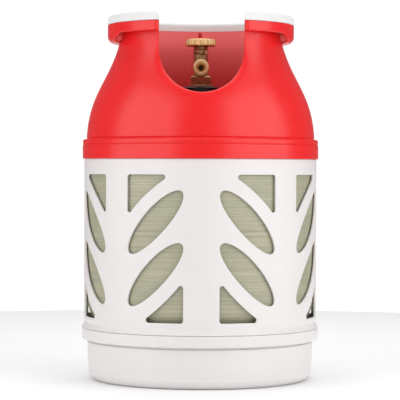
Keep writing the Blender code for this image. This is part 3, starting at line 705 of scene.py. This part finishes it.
def back_notch():
    """A drain notch through the collar under the rim, straight behind the valve."""
    corners = [(-2.2, 448.0), (2.2, 448.0), (2.2, 454.5), (-2.2, 454.5)]
    outline = rounded(corners, [1.4, 1.4, 0, 0], 4)
    return stacked_mesh("back_notch", [[(x, y, z) for x, z in outline] for y in WALL_CUT])


def skirt_path(length):
    """(radius, height, outward normal) along the skirt's outer face: down, round the curl, then in."""
    found = []
    bend = GRIP_CURL_RADIUS * math.pi / 2
    bend_radius = RIM_RADIUS - GRIP_CURL_RADIUS
    bend_height = SKIRT_TOP - GRIP_STRAIGHT
    for along in evenly(0.0, length, 20):
        if along < GRIP_STRAIGHT:
            found.append((RIM_RADIUS, SKIRT_TOP - along, (1.0, 0.0)))
        elif along < GRIP_STRAIGHT + bend:
            turn = (along - GRIP_STRAIGHT) / GRIP_CURL_RADIUS
            normal = (math.cos(turn), -math.sin(turn))
            radius = bend_radius + GRIP_CURL_RADIUS * normal[0]
            found.append((radius, bend_height + GRIP_CURL_RADIUS * normal[1], normal))
        else:
            rest = along - GRIP_STRAIGHT - bend
            found.append((bend_radius - rest, bend_height - GRIP_CURL_RADIUS, (0.0, -1.0)))
    return found


def grip_length(angle):
    """How far the skirt reaches at an angle from the front."""
    angle = min(angle, FULL_TURN - angle)
    whole = GRIP_STRAIGHT + GRIP_CURL_RADIUS * math.pi / 2 + GRIP_FLAT
    rise = smooth_step((angle - GRIP_FRONT_ANGLE) / GRIP_FRONT_EASE)
    fall = smooth_step((GRIP_BACK_ANGLE - angle) / GRIP_BACK_EASE)
    return SKIRT_LENGTH + (whole - SKIRT_LENGTH) * rise * fall


def roll_in(inset, radius):
    """How far a rounded end has drawn in, at a distance from its end face."""
    if inset >= radius:
        return 0.0
    return radius - math.sqrt(radius**2 - (radius - inset) ** 2)


def rim_section(angle, inset):
    """The rim plate and skirt in section, drawn in towards the axis near the two ends."""
    outer = RIM_RADIUS - roll_in(inset, RIM_END_ROUNDING)
    shift = outer - RIM_RADIUS
    path = [(radius + shift, z, normal) for radius, z, normal in skirt_path(grip_length(angle))]
    outside = [(radius, z) for radius, z, _ in path]
    last_radius, last_height, normal = path[-1]
    half = SKIRT_WALL / 2
    middle = (last_radius - normal[0] * half, last_height - normal[1] * half)
    facing = math.degrees(math.atan2(normal[1], normal[0]))
    tip = arc(middle, half, facing - 30.0, facing - 150.0, 4)
    fillet = 1.2
    under = RIM_TOP - RIM_PLATE
    inside = [
        (radius - normal[0] * SKIRT_WALL, z - normal[1] * SKIRT_WALL)
        for radius, z, normal in reversed(path)
        if z < under - fillet - 0.3
    ]
    inside += [(outer - SKIRT_WALL, under - fillet)] * (len(path) - len(inside))
    plate = [(outer - SKIRT_WALL - fillet, under), (RIM_PLATE_INNER, under)]
    plate += [(RIM_PLATE_INNER, RIM_TOP), (outer - 0.4, RIM_TOP)]
    return outside + tip + inside + plate


def c_shaped(name, section_at, insets):
    """Lofts a section from one side of the front opening round the back to the other side."""
    stations = [(inset, 0.0) for inset in insets]
    stations += [(insets[-1], part) for part in evenly(0.0, 1.0, RIM_STEPS)[1:-1]]
    stations += [(inset, 1.0) for inset in reversed(insets)]

    def angle_at(radius, inset, part):
        start = math.degrees(math.asin((OPENING_HALF_WIDTH + inset) / radius))
        return start + (FULL_TURN - 2 * start) * part

    rings = []
    for inset, part in stations:
        section = section_at(angle_at(RIM_RADIUS, inset, part), inset)
        rings.append([around(radius, angle_at(radius, inset, part), z) for radius, z in section])
    work = Patchwork()
    work.grid(rings, wrap=True)
    work.cap(rings[0])
    work.cap(rings[-1])
    return work.finished(name)


def upper_casing():
    cutters = [slot_cutter(1), slot_cutter(-1), back_notch()]
    both = Patchwork()
    both.add(combined(casing_shell(), cutters, "DIFFERENCE"))
    both.add(c_shaped("rim", rim_section, [0.0, 0.3, 1.0, 2.0, 3.4, 5.0, RIM_END_ROUNDING]))
    mesh = bpy.data.meshes.new("upper_casing_shell")
    both.mesh.to_mesh(mesh)
    both.mesh.free()
    place("upper_casing_shell", mesh, RED, "bottle", "upper_casing")
    # the inward faces take the inner material, whose lightened red and pale sheen are painted light
    mesh.materials.append(RED_INSIDE)
    least_inward = 0.6
    for face in mesh.polygons:
        inward = -face.center.xy.normalized().dot(face.normal.xy)
        if inward > least_inward:
            face.material_index = 1


def trim_section(_angle, inset):
    """The trim in section, lower near its ends so that their top corners are round."""
    top = TRIM_TOP - roll_in(inset, TRIM_END_ROUNDING)
    tuck = roll_in(inset, 1.2)
    inner, outer = TRIM_INNER_RADIUS + tuck, RIM_RADIUS - tuck
    corners = [(inner, TRIM_BOTTOM), (outer, TRIM_BOTTOM), (outer, top), (inner, top)]
    return rounded(corners, [0.8, 0.8, TRIM_EDGE, TRIM_EDGE], 6)


def handle_trim():
    mesh = c_shaped("rim_trim", trim_section, [0.0, 0.2, 0.6, 1.3, 2.4, 4.0, TRIM_END_ROUNDING])
    place("rim_trim", mesh, TRIM, "bottle", "handle_trim")


# ---- Lattice casing ----


def along_wall(angle):
    return math.radians(angle) * LATTICE_RADIUS


def leaf_outline(height):
    """A tilted ellipse on the unrolled wall, which rises towards the front column."""
    tilt = math.radians(LEAF_TILT)
    found = []
    for turn in evenly(0.0, 2 * math.pi, 64)[:-1]:
        long = LEAF_HALF_LENGTH * math.cos(turn)
        short = LEAF_HALF_WIDTH * math.sin(turn)
        x = -long * math.cos(tilt) - short * math.sin(tilt)
        z = long * math.sin(tilt) - short * math.cos(tilt)
        found.append((along_wall(LEAF_CENTRE_ANGLE) + x, height + z))
    return found


def corner_window(corners):
    """A three-cornered window whose long side bows in to follow the leaf beside it."""
    square, first, second = (Vector((along_wall(angle), z)) for angle, z in corners)
    inward = (square - (first + second) / 2).normalized()
    bowed = []
    for part in evenly(0.0, 1.0, 12)[3:-3]:
        bow = WINDOW_BOW * 4 * part * (1 - part)
        bowed.append(tuple(first.lerp(second, part) + inward * bow))
    outline = [tuple(square), tuple(first)] + bowed + [tuple(second)]
    radii = [WINDOW_CORNER, WINDOW_CORNER] + [0.0] * len(bowed) + [WINDOW_CORNER]
    return rounded(outline, radii, 6)


def flat_sector():
    """One unrolled sector of the wall as a flat plate with rounded window edges."""
    curve = bpy.data.curves.new("sector", "CURVE")
    curve.dimensions = "2D"
    curve.fill_mode = "BOTH"
    curve.extrude = (LATTICE_WALL / 2 - WINDOW_EDGE) * MM
    curve.bevel_depth = WINDOW_EDGE * MM
    curve.bevel_resolution = 3
    curve.offset = -WINDOW_EDGE * MM
    margin = 12.0
    width = along_wall(SECTOR_ANGLE)
    left, right, bottom = -margin, width + margin, LATTICE_BOTTOM - margin
    outlines = [[(left, bottom), (right, bottom), (right, LATTICE_TOP), (left, LATTICE_TOP)]]
    outlines += [leaf_outline(height) for height in LEAF_HEIGHTS]
    outlines += [corner_window(TOP_WINDOW), corner_window(BOTTOM_WINDOW)]
    for outline in outlines:
        spline = curve.splines.new("POLY")
        spline.points.add(len(outline) - 1)
        spline.use_cyclic_u = True
        for point, (x, z) in zip(spline.points, outline):
            point.co = (x * MM, z * MM, 0.0, 1.0)
    thing = temporary(curve)
    graph = bpy.context.evaluated_depsgraph_get()
    mesh = bpy.data.meshes.new_from_object(thing.evaluated_get(graph))
    bpy.data.objects.remove(thing, do_unlink=True)
    return mesh


def slice_plate(plate, place_at, normal, clear=False):
    bmesh.ops.bisect_plane(
        plate,
        geom=plate.verts[:] + plate.edges[:] + plate.faces[:],
        plane_co=place_at,
        plane_no=normal,
        clear_outer=clear,
    )


def lattice_sector():
    plate = bmesh.new()
    plate.from_mesh(flat_sector())
    bmesh.ops.remove_doubles(plate, verts=plate.verts, dist=0.00001)
    width = along_wall(SECTOR_ANGLE) * MM
    slice_plate(plate, (0.0, 0.0, 0.0), (-1.0, 0.0, 0.0), clear=True)
    slice_plate(plate, (width, 0.0, 0.0), (1.0, 0.0, 0.0), clear=True)
    slice_plate(plate, (0.0, LATTICE_BOTTOM * MM, 0.0), (0.0, -1.0, 0.0), clear=True)
    for x in evenly(0.0, width, 24)[1:-1]:
        slice_plate(plate, (x, 0.0, 0.0), (1.0, 0.0, 0.0))
    for z in evenly(LATTICE_BOTTOM, LATTICE_TOP, 16)[1:-1]:
        slice_plate(plate, (0.0, z * MM, 0.0), (0.0, 1.0, 0.0))
    return plate


def hoop(work, profile):
    """Turns a profile round the bottle, as part of the lattice casing."""
    angles = evenly(0.0, FULL_TURN, 192)[:-1]
    rows = [[around(radius, angle, z) for angle in angles] for radius, z in profile]
    work.grid(rows, wrap=True)


def lattice_casing():
    plate = lattice_sector()
    work = Patchwork()
    middle = LATTICE_RADIUS - LATTICE_WALL / 2
    flat = bpy.data.meshes.new("flat_sector")
    plate.to_mesh(flat)
    plate.free()
    for sector in range(int(FULL_TURN / SECTOR_ANGLE)):
        copy = flat.copy()
        for vertex in copy.vertices:
            angle = math.degrees(vertex.co.x / MM / LATTICE_RADIUS)
            if sector % 2:
                angle = SECTOR_ANGLE - angle
            radius = middle + vertex.co.z / MM
            vertex.co = around(radius, sector * SECTOR_ANGLE + angle, vertex.co.y / MM)
        work.add(copy)
    outer = [(LATTICE_RADIUS, LATTICE_BOTTOM), (150.25, 78.0), (149.9, 76.6), (149.7, 75.2)]
    outer += [(149.8, 73.8), (150.3, 72.3), (151.1, 70.8), (151.9, 69.6), (152.5, 68.7)]
    outer += [(152.8, 68.1), (152.75, 67.6), (152.4, 67.3), (151.9, PARTING_HEIGHT)]
    inner = [(150.2, PARTING_HEIGHT), (149.9, 67.5), (149.9, 68.6), (148.9, 70.4), (147.9, 72.4)]
    inner += [(147.4, 74.6), (LATTICE_RADIUS - LATTICE_WALL, LATTICE_BOTTOM)]
    hoop(work, outer + inner)
    corners = [(149.2, 297.0), (149.2, 282.4), (146.6, 282.4), (146.6, 297.0)]
    upstand = rounded(corners, [0.6, 0, 0, 0.6])
    hoop(work, upstand + upstand[:1])
    mesh = work.finished("lattice_casing_shell", weld=0.00003)
    place("lattice_casing_shell", mesh, WHITE, "bottle", "lattice_casing")


# ---- Base casing and vessel ----


def base_casing():
    """The cup under the vessel: outer ring, wall, foot and the inner lip round the stacking recess."""
    corners = [((147.0, 74.0), 0.8), ((147.0, 66.9), 0.0), ((BASE_RING_RADIUS, 66.9), 0.7)]
    corners += [((152.2, 52.4), 1.3), ((143.7, 52.0), 0.4), ((143.6, 50.3), 0.4), ((145.7, 49.2), 1.0)]
    corners += [((144.9, 26.0), 0.0), ((143.9, 0.0), 11.5), ((RECESS_RADIUS, 0.0), 1.4)]
    corners += [((RECESS_RADIUS, RECESS_HEIGHT), 0.8), ((126.5, RECESS_HEIGHT), 0.8), ((126.5, 3.2), 1.5)]
    corners += [((140.8, 3.2), 8.5), ((142.0, 26.0), 0.0), ((141.0, 48.0), 1.5), ((140.9, 54.6), 1.5)]
    corners += [((149.5, 57.0), 2.0), ((149.5, 60.0), 0.8), ((144.0, 63.5), 0.8), ((144.0, 74.0), 0.8)]
    turned_piece("base_cup", softened(corners, 5), 180, WHITE, "base_casing")


def support_plate():
    """The ring plate that rests in the base cup, with its rib under the vessel."""
    bottom = RECESS_HEIGHT + 0.3
    top = bottom + 3.0
    corners = [((20.0, top), 0.8), ((78.6, top), 2.0), ((79.8, 36.6), 0.8), ((84.2, 38.2), 0.8)]
    corners += [((85.4, top), 2.0), ((138.0, top), 0.8), ((138.0, bottom), 0.8), ((20.0, bottom), 0.8)]
    turned_piece("vessel_support", softened(corners, 4), 144, WHITE, "support_plate")


def glass_fibre_winding():
    """The wound wall with its two domes, each open round its boss."""
    wall = 3.5
    top_hole = 19.3
    bottom_hole = 10.3

    def dome(radius, height, base, hole, sign):
        turns = evenly(math.acos(hole / radius), 0.0, 22)
        return [(radius * math.cos(turn), base + sign * height * math.sin(turn)) for turn in turns]

    inner = WINDING_RADIUS - wall
    profile = dome(WINDING_RADIUS, TOP_DOME_HEIGHT, VESSEL_TOP, top_hole, 1)
    profile += [(WINDING_RADIUS, height) for height in evenly(VESSEL_TOP, VESSEL_BOTTOM, 15)[1:-1]]
    profile += reversed(dome(WINDING_RADIUS, BOTTOM_DOME_HEIGHT, VESSEL_BOTTOM, bottom_hole, -1))
    profile += dome(inner, BOTTOM_DOME_HEIGHT - wall, VESSEL_BOTTOM, bottom_hole, -1)
    profile += reversed(dome(inner, TOP_DOME_HEIGHT - wall, VESSEL_TOP, top_hole, 1))
    turned_piece("fibre_winding", profile, 144, WINDING, "glass_fibre_winding")


def neck_collar():
    corners = [(19.3, 376.4), (30.0, 376.4), (30.0, 364.0), (19.3, 364.0)]
    profile = rounded(corners, [0.5, 1.6, 1.6, 0.5], 5)
    turned_piece("neck_ring", profile, 96, BLACK, "neck_collar")


# ---- Valve ----


def hexagon_ring(radius, height):
    """Corners of a hexagon that has one corner at the front."""
    turns = [math.radians(30.0 + 60.0 * index) for index in range(6)]
    return [(radius * math.cos(turn), radius * math.sin(turn), height) for turn in turns]


def thread(radius, depth, pitch, start, end):
    """Profile points of a male thread, drawn as plain grooves, from a high start to a low end."""
    found = []
    position = start
    while position - pitch > end:
        found += [(radius, position), (radius, position - pitch * 0.35)]
        found += [(radius - depth, position - pitch * 0.62), (radius - depth, position - pitch * 0.72)]
        position -= pitch
    return found


def forward():
    return axis_through(OUTLET_HEIGHT, (0.0, -1.0, 0.0))


def relief_axis():
    turn = math.radians(RELIEF_ANGLE)
    return axis_through(RELIEF_HEIGHT, (math.sin(turn), -math.cos(turn), 0.0))


def to_axis(profile):
    """Closes an outer profile down the axis, leaving a hair's width so that no face is pinched."""
    return [(0.02, profile[0][1])] + profile + [(0.02, profile[-1][1])]


def valve_outside():
    """The column, hexagon, outlet block, outlet pipe and relief boss as one solid."""
    column = [(8.6, 425.6), (9.4, 425.0), (9.7, 424.2), (9.7, 420.6), (9.3, 419.6), (8.7, 419.1)]
    column += [(8.8, 418.5), (9.4, 417.9), (9.4, 392.0), (9.9, 391.2), (11.0, 390.6), (12.0, 389.6)]
    column += [(12.0, 381.6), (13.2, 380.7), (15.6, 380.4), (16.2, 380.1), (16.4, 379.4)]
    column += [(16.4, 377.6), (16.0, 377.0), (15.2, 376.8), (11.6, 376.8), (11.6, 352.0), (10.6, 351.0)]
    body = turned_mesh("valve_column", to_axis(column), 72)
    corner = HEXAGON_FLATS / math.sqrt(3.0)
    levels = ((corner - 1.4, 380.2), (corner, 381.4), (corner, 389.8), (corner - 1.8, 391.4))
    hexagon = stacked_mesh("hexagon", [hexagon_ring(radius, z) for radius, z in levels])
    corners = [(-7.1, -9.9), (7.1, -9.9), (7.1, 2.0), (-7.1, 2.0)]
    outline = rounded(corners, [1.2, 1.2, 0.5, 0.5])
    block = stacked_mesh("block", [[(x, y, z) for x, y in outline] for z in (404.0, 418.6)])
    face = [(8.4, 0.0), (9.3, 0.15), (10.0, 0.55), (10.45, 1.1), (10.7, 1.8)]
    outlet = [(radius, OUTLET_REACH - back) for radius, back in face]
    outlet += thread(OUTLET_RADIUS, 0.7, 1.81, OUTLET_REACH - 2.4, 14.0)
    outlet += [(9.7, 12.6), (9.5, 11.6), (9.3, 10.4), (9.2, 3.0)]
    pipe = turned_mesh("outlet_pipe", to_axis(outlet), 64, forward())
    relief = [(2.55, 14.0), (2.8, 13.85), (2.95, 13.5), (2.95, 10.2), (3.4, 9.2), (3.6, 8.1)]
    boss = turned_mesh("relief_boss", to_axis(relief), 40, relief_axis())
    return combined(body, [hexagon, block, pipe, boss], "UNION")


def valve_bores():
    """Cutters for the spindle's chamber, the outlet's bore and the relief bore."""
    chamber = [(7.8, 432.0), (7.8, 412.8), (7.0, 412.8), (7.0, 396.0), (3.5, 396.0), (3.5, 340.0)]
    bore = [(6.5, 35.0), (6.5, 29.95), (6.2, 29.6), (4.05, 27.7), (3.85, 27.3), (3.85, 20.0)]
    bore += [(3.65, 20.0), (3.65, 9.2), (2.2, 9.2), (2.2, 4.0)]
    relief_bore = [(2.25, 16.0), (2.25, 9.4), (0.7, 9.4), (0.7, 6.5)]
    return [
        turned_mesh("chamber", to_axis(chamber), 48),
        turned_mesh("bore", to_axis(bore), 48, forward()),
        turned_mesh("relief_bore", to_axis(relief_bore), 24, relief_axis()),
    ]


def valve_body():
    """The brass body, with the outlet's turned part a brighter brass than the forging."""
    bores = valve_bores()
    mesh = combined(valve_outside(), bores, "DIFFERENCE", bevel=0.22, bevel_angle=50.0, segments=2)
    place("valve_casting", mesh, BRASS, "bottle", "valve_body")
    mesh.materials.append(BRASS_TURNED)
    turned_radius = OUTLET_RADIUS + 0.75
    for face in mesh.polygons:
        off_axis = math.hypot(face.center.x, face.center.z - OUTLET_HEIGHT * MM)
        if face.center.y < -MACHINED_REACH * MM and off_axis < turned_radius * MM:
            face.material_index = 1


def gland_nut():
    corners = [(4.6, 429.8), (9.0, 429.8), (9.0, 425.9), (7.5, 425.9), (7.5, 413.1), (4.6, 413.1)]
    profile = rounded(corners, [0.3, 0.7, 0.4, 0.0, 0.3, 0.3], 4)
    turned_piece("gland_plug", profile, 72, BRASS, "gland_nut")


def fluted_level(radius, height, depth):
    """One level of the handwheel's outline: broad flat ribs with narrow grooves between them."""
    per_flute = 16
    found = []
    for index in range(WHEEL_FLUTES * per_flute):
        part = index / per_flute
        turn = 2 * math.pi * index / (WHEEL_FLUTES * per_flute)
        dip = depth * (0.5 - 0.5 * math.cos(2 * math.pi * part)) ** 3.5
        found.append(((radius - dip) * math.cos(turn), (radius - dip) * math.sin(turn), height))
    return found


def handwheel():
    """The fluted wheel, hollow underneath, with a dished top."""
    levels = [(18.9, 430.2, 0.5), (19.6, 430.35, 0.8), (19.95, 430.8, 1.0)]
    levels += [(WHEEL_RADIUS, 431.3, 1.05), (19.7, 433.0, 1.05), (19.1, 436.0, 1.05)]
    levels += [(18.8, 437.1, 1.0), (18.2, 438.2, 0.8), (17.4, 438.8, 0.5), (16.4, 439.1, 0.2)]
    wheel = stacked_mesh("wheel", [fluted_level(*level) for level in levels])
    under = rounded([(17.2, 425.0), (9.2, 425.0), (9.2, 433.4), (17.2, 433.4)], [0, 0, 1.2, 1.6], 4)
    under.reverse()
    top = [(12.6, 445.0), (12.6, 438.2), (11.8, 437.6), (8.9, 437.3), (8.3, 436.8), (8.2, 435.2)]
    hole = [(2.8, 440.0), (2.8, 432.0), (3.6, 432.0), (3.6, 420.0)]
    cutters = [
        turned_mesh("under", under, 64),
        turned_mesh("top", to_axis(top), 64),
        turned_mesh("hole", to_axis(hole), 32),
    ]
    mesh = combined(wheel, cutters, "DIFFERENCE")
    place("fluted_wheel", mesh, BRASS_CAST, "handwheel", "handwheel")


def wheel_fixings():
    washer = rounded([(6.6, 436.2), (6.6, 435.5), (2.8, 435.5), (2.8, 436.2)], [0.2] * 4, 3)
    turned_piece("wheel_washer", washer, 48, STEEL, "handwheel_washer", "handwheel")
    body = stacked_mesh("nut", [hexagon_ring(4.6, z) for z in (436.5, 438.9)])
    chamfer = [(3.9, 440.0), (3.9, 438.95), (5.2, 438.2), (5.2, 436.0)]
    hole = [(3.2, 441.0), (3.2, 438.9), (2.8, 438.5), (2.8, 436.0)]
    trimmed = combined(body, [turned_mesh("chamfer", to_axis(chamfer), 48)], "INTERSECT")
    mesh = combined(trimmed, [turned_mesh("nut_hole", to_axis(hole), 32)], "DIFFERENCE", bevel=0.1)
    place("wheel_nut", mesh, BRASS_TURNED, "handwheel", "handwheel_nut")


def spindle():
    profile = [(1.9, 437.2), (2.3, 437.1)]
    profile += thread(2.5, 0.25, 0.7, 436.8, 432.4)
    profile += [(2.5, 431.6), (3.3, 431.6), (3.3, 429.9), (4.3, 429.9), (4.3, 423.0), (2.7, 423.0)]
    profile += [(2.7, 421.1), (4.3, 421.1), (4.3, 418.6), (2.7, 418.6), (2.7, 416.7), (4.3, 416.7)]
    profile += [(4.3, 411.4), (6.2, 411.4), (6.2, 409.6), (2.7, 409.6), (2.7, 404.5)]
    turned_piece("valve_spindle", to_axis(profile), 40, BRASS_TURNED, "spindle", "handwheel")


def guide_rib(turn):
    """A rib from the guide's hub to its ring, at an angle round the outlet's axis."""
    along = Vector((math.cos(turn), math.sin(turn)))
    across = Vector((-along.y, along.x)) * 0.42
    hub_end, ring_end = along * 1.4, along * 3.0
    corners = [hub_end + across, hub_end - across, ring_end - across, ring_end + across]
    rings = []
    for z in (17.1, 19.0):
        rings.append([forward() @ Vector((x * MM, y * MM, z * MM)) / MM for x, y in corners])
    return stacked_mesh("guide_rib", rings)


def check_valve():
    """The ribbed guide in the outlet and the poppet behind it."""
    ring = rounded([(3.35, 19.7), (3.35, 16.6), (2.75, 16.6), (2.75, 19.7)], [0.15] * 4, 3)
    hub = rounded([(1.75, 19.2), (1.75, 16.8), (1.15, 16.8), (1.15, 19.2)], [0.15] * 4, 3)
    guide = turned_mesh("guide_ring", ring, 48, forward())
    parts = [turned_mesh("guide_hub", hub, 32, forward())]
    parts += [guide_rib(math.radians(angle)) for angle in (90.0, 210.0, 330.0)]
    mesh = combined(guide, parts, "UNION", bevel=0.08)
    # painted shade: the guide and the poppet take the dark brass that stands in for the shadow deep in the
    # outlet
    place("outlet_guide", mesh, SHADE_DARKENED_BRASS, "bottle", "check_insert")
    poppet = [(0.4, 18.95), (0.7, 18.8), (0.85, 18.5), (0.85, 16.3), (2.9, 16.3), (3.2, 15.9)]
    poppet += [(3.2, 14.4), (1.9, 14.4), (1.9, 13.4)]
    poppet = to_axis(poppet)
    turned_piece(
        "outlet_poppet", poppet, 36, SHADE_DARKENED_BRASS, "check_poppet", "check_poppet", forward()
    )


def relief_cap():
    corners = [(0.8, 14.2), (1.95, 14.2), (1.95, 12.7), (0.8, 12.7)]
    profile = rounded(corners, [0.15, 0.3, 0.15, 0.1], 3)
    turned_piece("relief_plug", profile, 32, BRASS_TURNED, "relief_cap", axis=relief_axis())


def hidden_nodes():
    """CAD nodes that stay as they are, each with its material."""
    finishes = (
        (LINER, ("liner", "gland_washer")),
        (ALUMINIUM, ("neck_boss", "tail_boss")),
        (SEAL, ("boss_o_ring", "spindle_o_ring_upper", "spindle_o_ring_lower", "seat_disc")),
        (STEEL, ("check_spring", "relief_spring")),
        (BRASS_TURNED, ("seat_plug", "relief_poppet")),
    )
    for material, names in finishes:
        for name in names:
            mesh = NODES[name].data
            mesh.materials.clear()
            mesh.materials.append(material)


# ---- Studio ----


def set_up(name, data, place_at, target, roll=0.0):
    """Puts a light or the camera in the scene, pointing at a target."""
    thing = bpy.data.objects.new(name, data)
    thing.location = place_at
    aim = (Vector(target) - Vector(place_at)).to_track_quat("-Z", "Y")
    thing.rotation_mode = "QUATERNION"
    thing.rotation_quaternion = aim @ Quaternion((0.0, 0.0, 1.0), math.radians(roll))
    bpy.context.scene.collection.objects.link(thing)
    return thing


def area_light(name, place_at, target, width, height, radiance):
    light = bpy.data.lights.new(name, "AREA")
    light.shape = "RECTANGLE"
    light.size = width
    light.size_y = height
    light.energy = radiance * math.pi * width * height
    set_up(name, light, place_at, target)


def studio_world():
    """A bright backdrop straight behind the bottle in an otherwise dim studio."""
    world = bpy.data.worlds.new("studio")
    world.use_nodes = True
    tree = world.node_tree
    background = tree.nodes["Background"]
    background.inputs["Color"].default_value = (1.0, 1.0, 1.0, 1.0)
    direction = tree.nodes.new("ShaderNodeTexCoord").outputs["Generated"]
    split = tree.nodes.new("ShaderNodeSeparateXYZ")
    tree.links.new(direction, split.inputs[0])
    far, near = (math.cos(math.radians(angle)) for angle in reversed(BACKDROP_ANGLES))
    glow = map_range(tree, split.outputs["Y"], far, near, 0.0, BACKDROP_STRENGTH)
    glow.interpolation_type = "SMOOTHSTEP"
    fill = map_range(tree, split.outputs["Y"], -1.0, 1.0, FRONT_FILL, BACK_FILL)
    total = tree.nodes.new("ShaderNodeMath")
    total.operation = "ADD"
    tree.links.new(glow.outputs["Result"], total.inputs[0])
    tree.links.new(fill.outputs["Result"], total.inputs[1])
    tree.links.new(total.outputs["Value"], background.inputs["Strength"])
    bpy.context.scene.world = world


def floor():
    work = Patchwork()
    angles = evenly(0.0, FULL_TURN, 96)[:-1]
    work.cap([around(FLOOR_RADIUS / MM, angle, 0.0) for angle in angles])
    mesh = work.finished("floor")
    floor_shader = Shader("pale_floor", FLOOR_COLOUR, 0.75, Specular_IOR_Level=0.1)
    mesh.materials.append(floor_shader.material)
    piece = bpy.data.objects.new("floor", mesh)
    bpy.context.scene.collection.objects.link(piece)


def studio():
    """Softboxes at both sides and one above, a glowing backdrop and a pale floor."""
    studio_world()
    turn = math.radians(SOFTBOX_ANGLE)
    height = SOFTBOX_HEIGHT / 2 + SOFTBOX_LIFT
    for name, side, radiance in (("left_softbox", -1, LEFT_RADIANCE), ("right_softbox", 1, RIGHT_RADIANCE)):
        across = side * SOFTBOX_DISTANCE * math.sin(turn)
        place_at = (across, -SOFTBOX_DISTANCE * math.cos(turn), height)
        area_light(name, place_at, (0.0, 0.0, height), SOFTBOX_WIDTH, SOFTBOX_HEIGHT, radiance)
    area_light("top_softbox", TOP_PLACE, TOP_TARGET, TOP_SIZE, TOP_SIZE, TOP_RADIANCE)
    floor()


def camera():
    data = bpy.data.cameras.new("camera")
    data.lens = CAMERA_LENS
    data.sensor_width = CAMERA_SENSOR
    turn = math.radians(CAMERA_ANGLE)
    place_at = Vector((math.sin(turn), -math.cos(turn), 0.0)) * CAMERA_DISTANCE
    place_at.z = CAMERA_HEIGHT
    bpy.context.scene.camera = set_up("camera", data, place_at, CAMERA_TARGET, CAMERA_ROLL)


def build():
    upper_casing()
    handle_trim()
    lattice_casing()
    base_casing()
    support_plate()
    glass_fibre_winding()
    neck_collar()
    valve_body()
    gland_nut()
    handwheel()
    wheel_fixings()
    spindle()
    check_valve()
    relief_cap()
    hidden_nodes()
    studio()
    camera()
    bpy.context.scene.view_settings.view_transform = "Standard"


build()
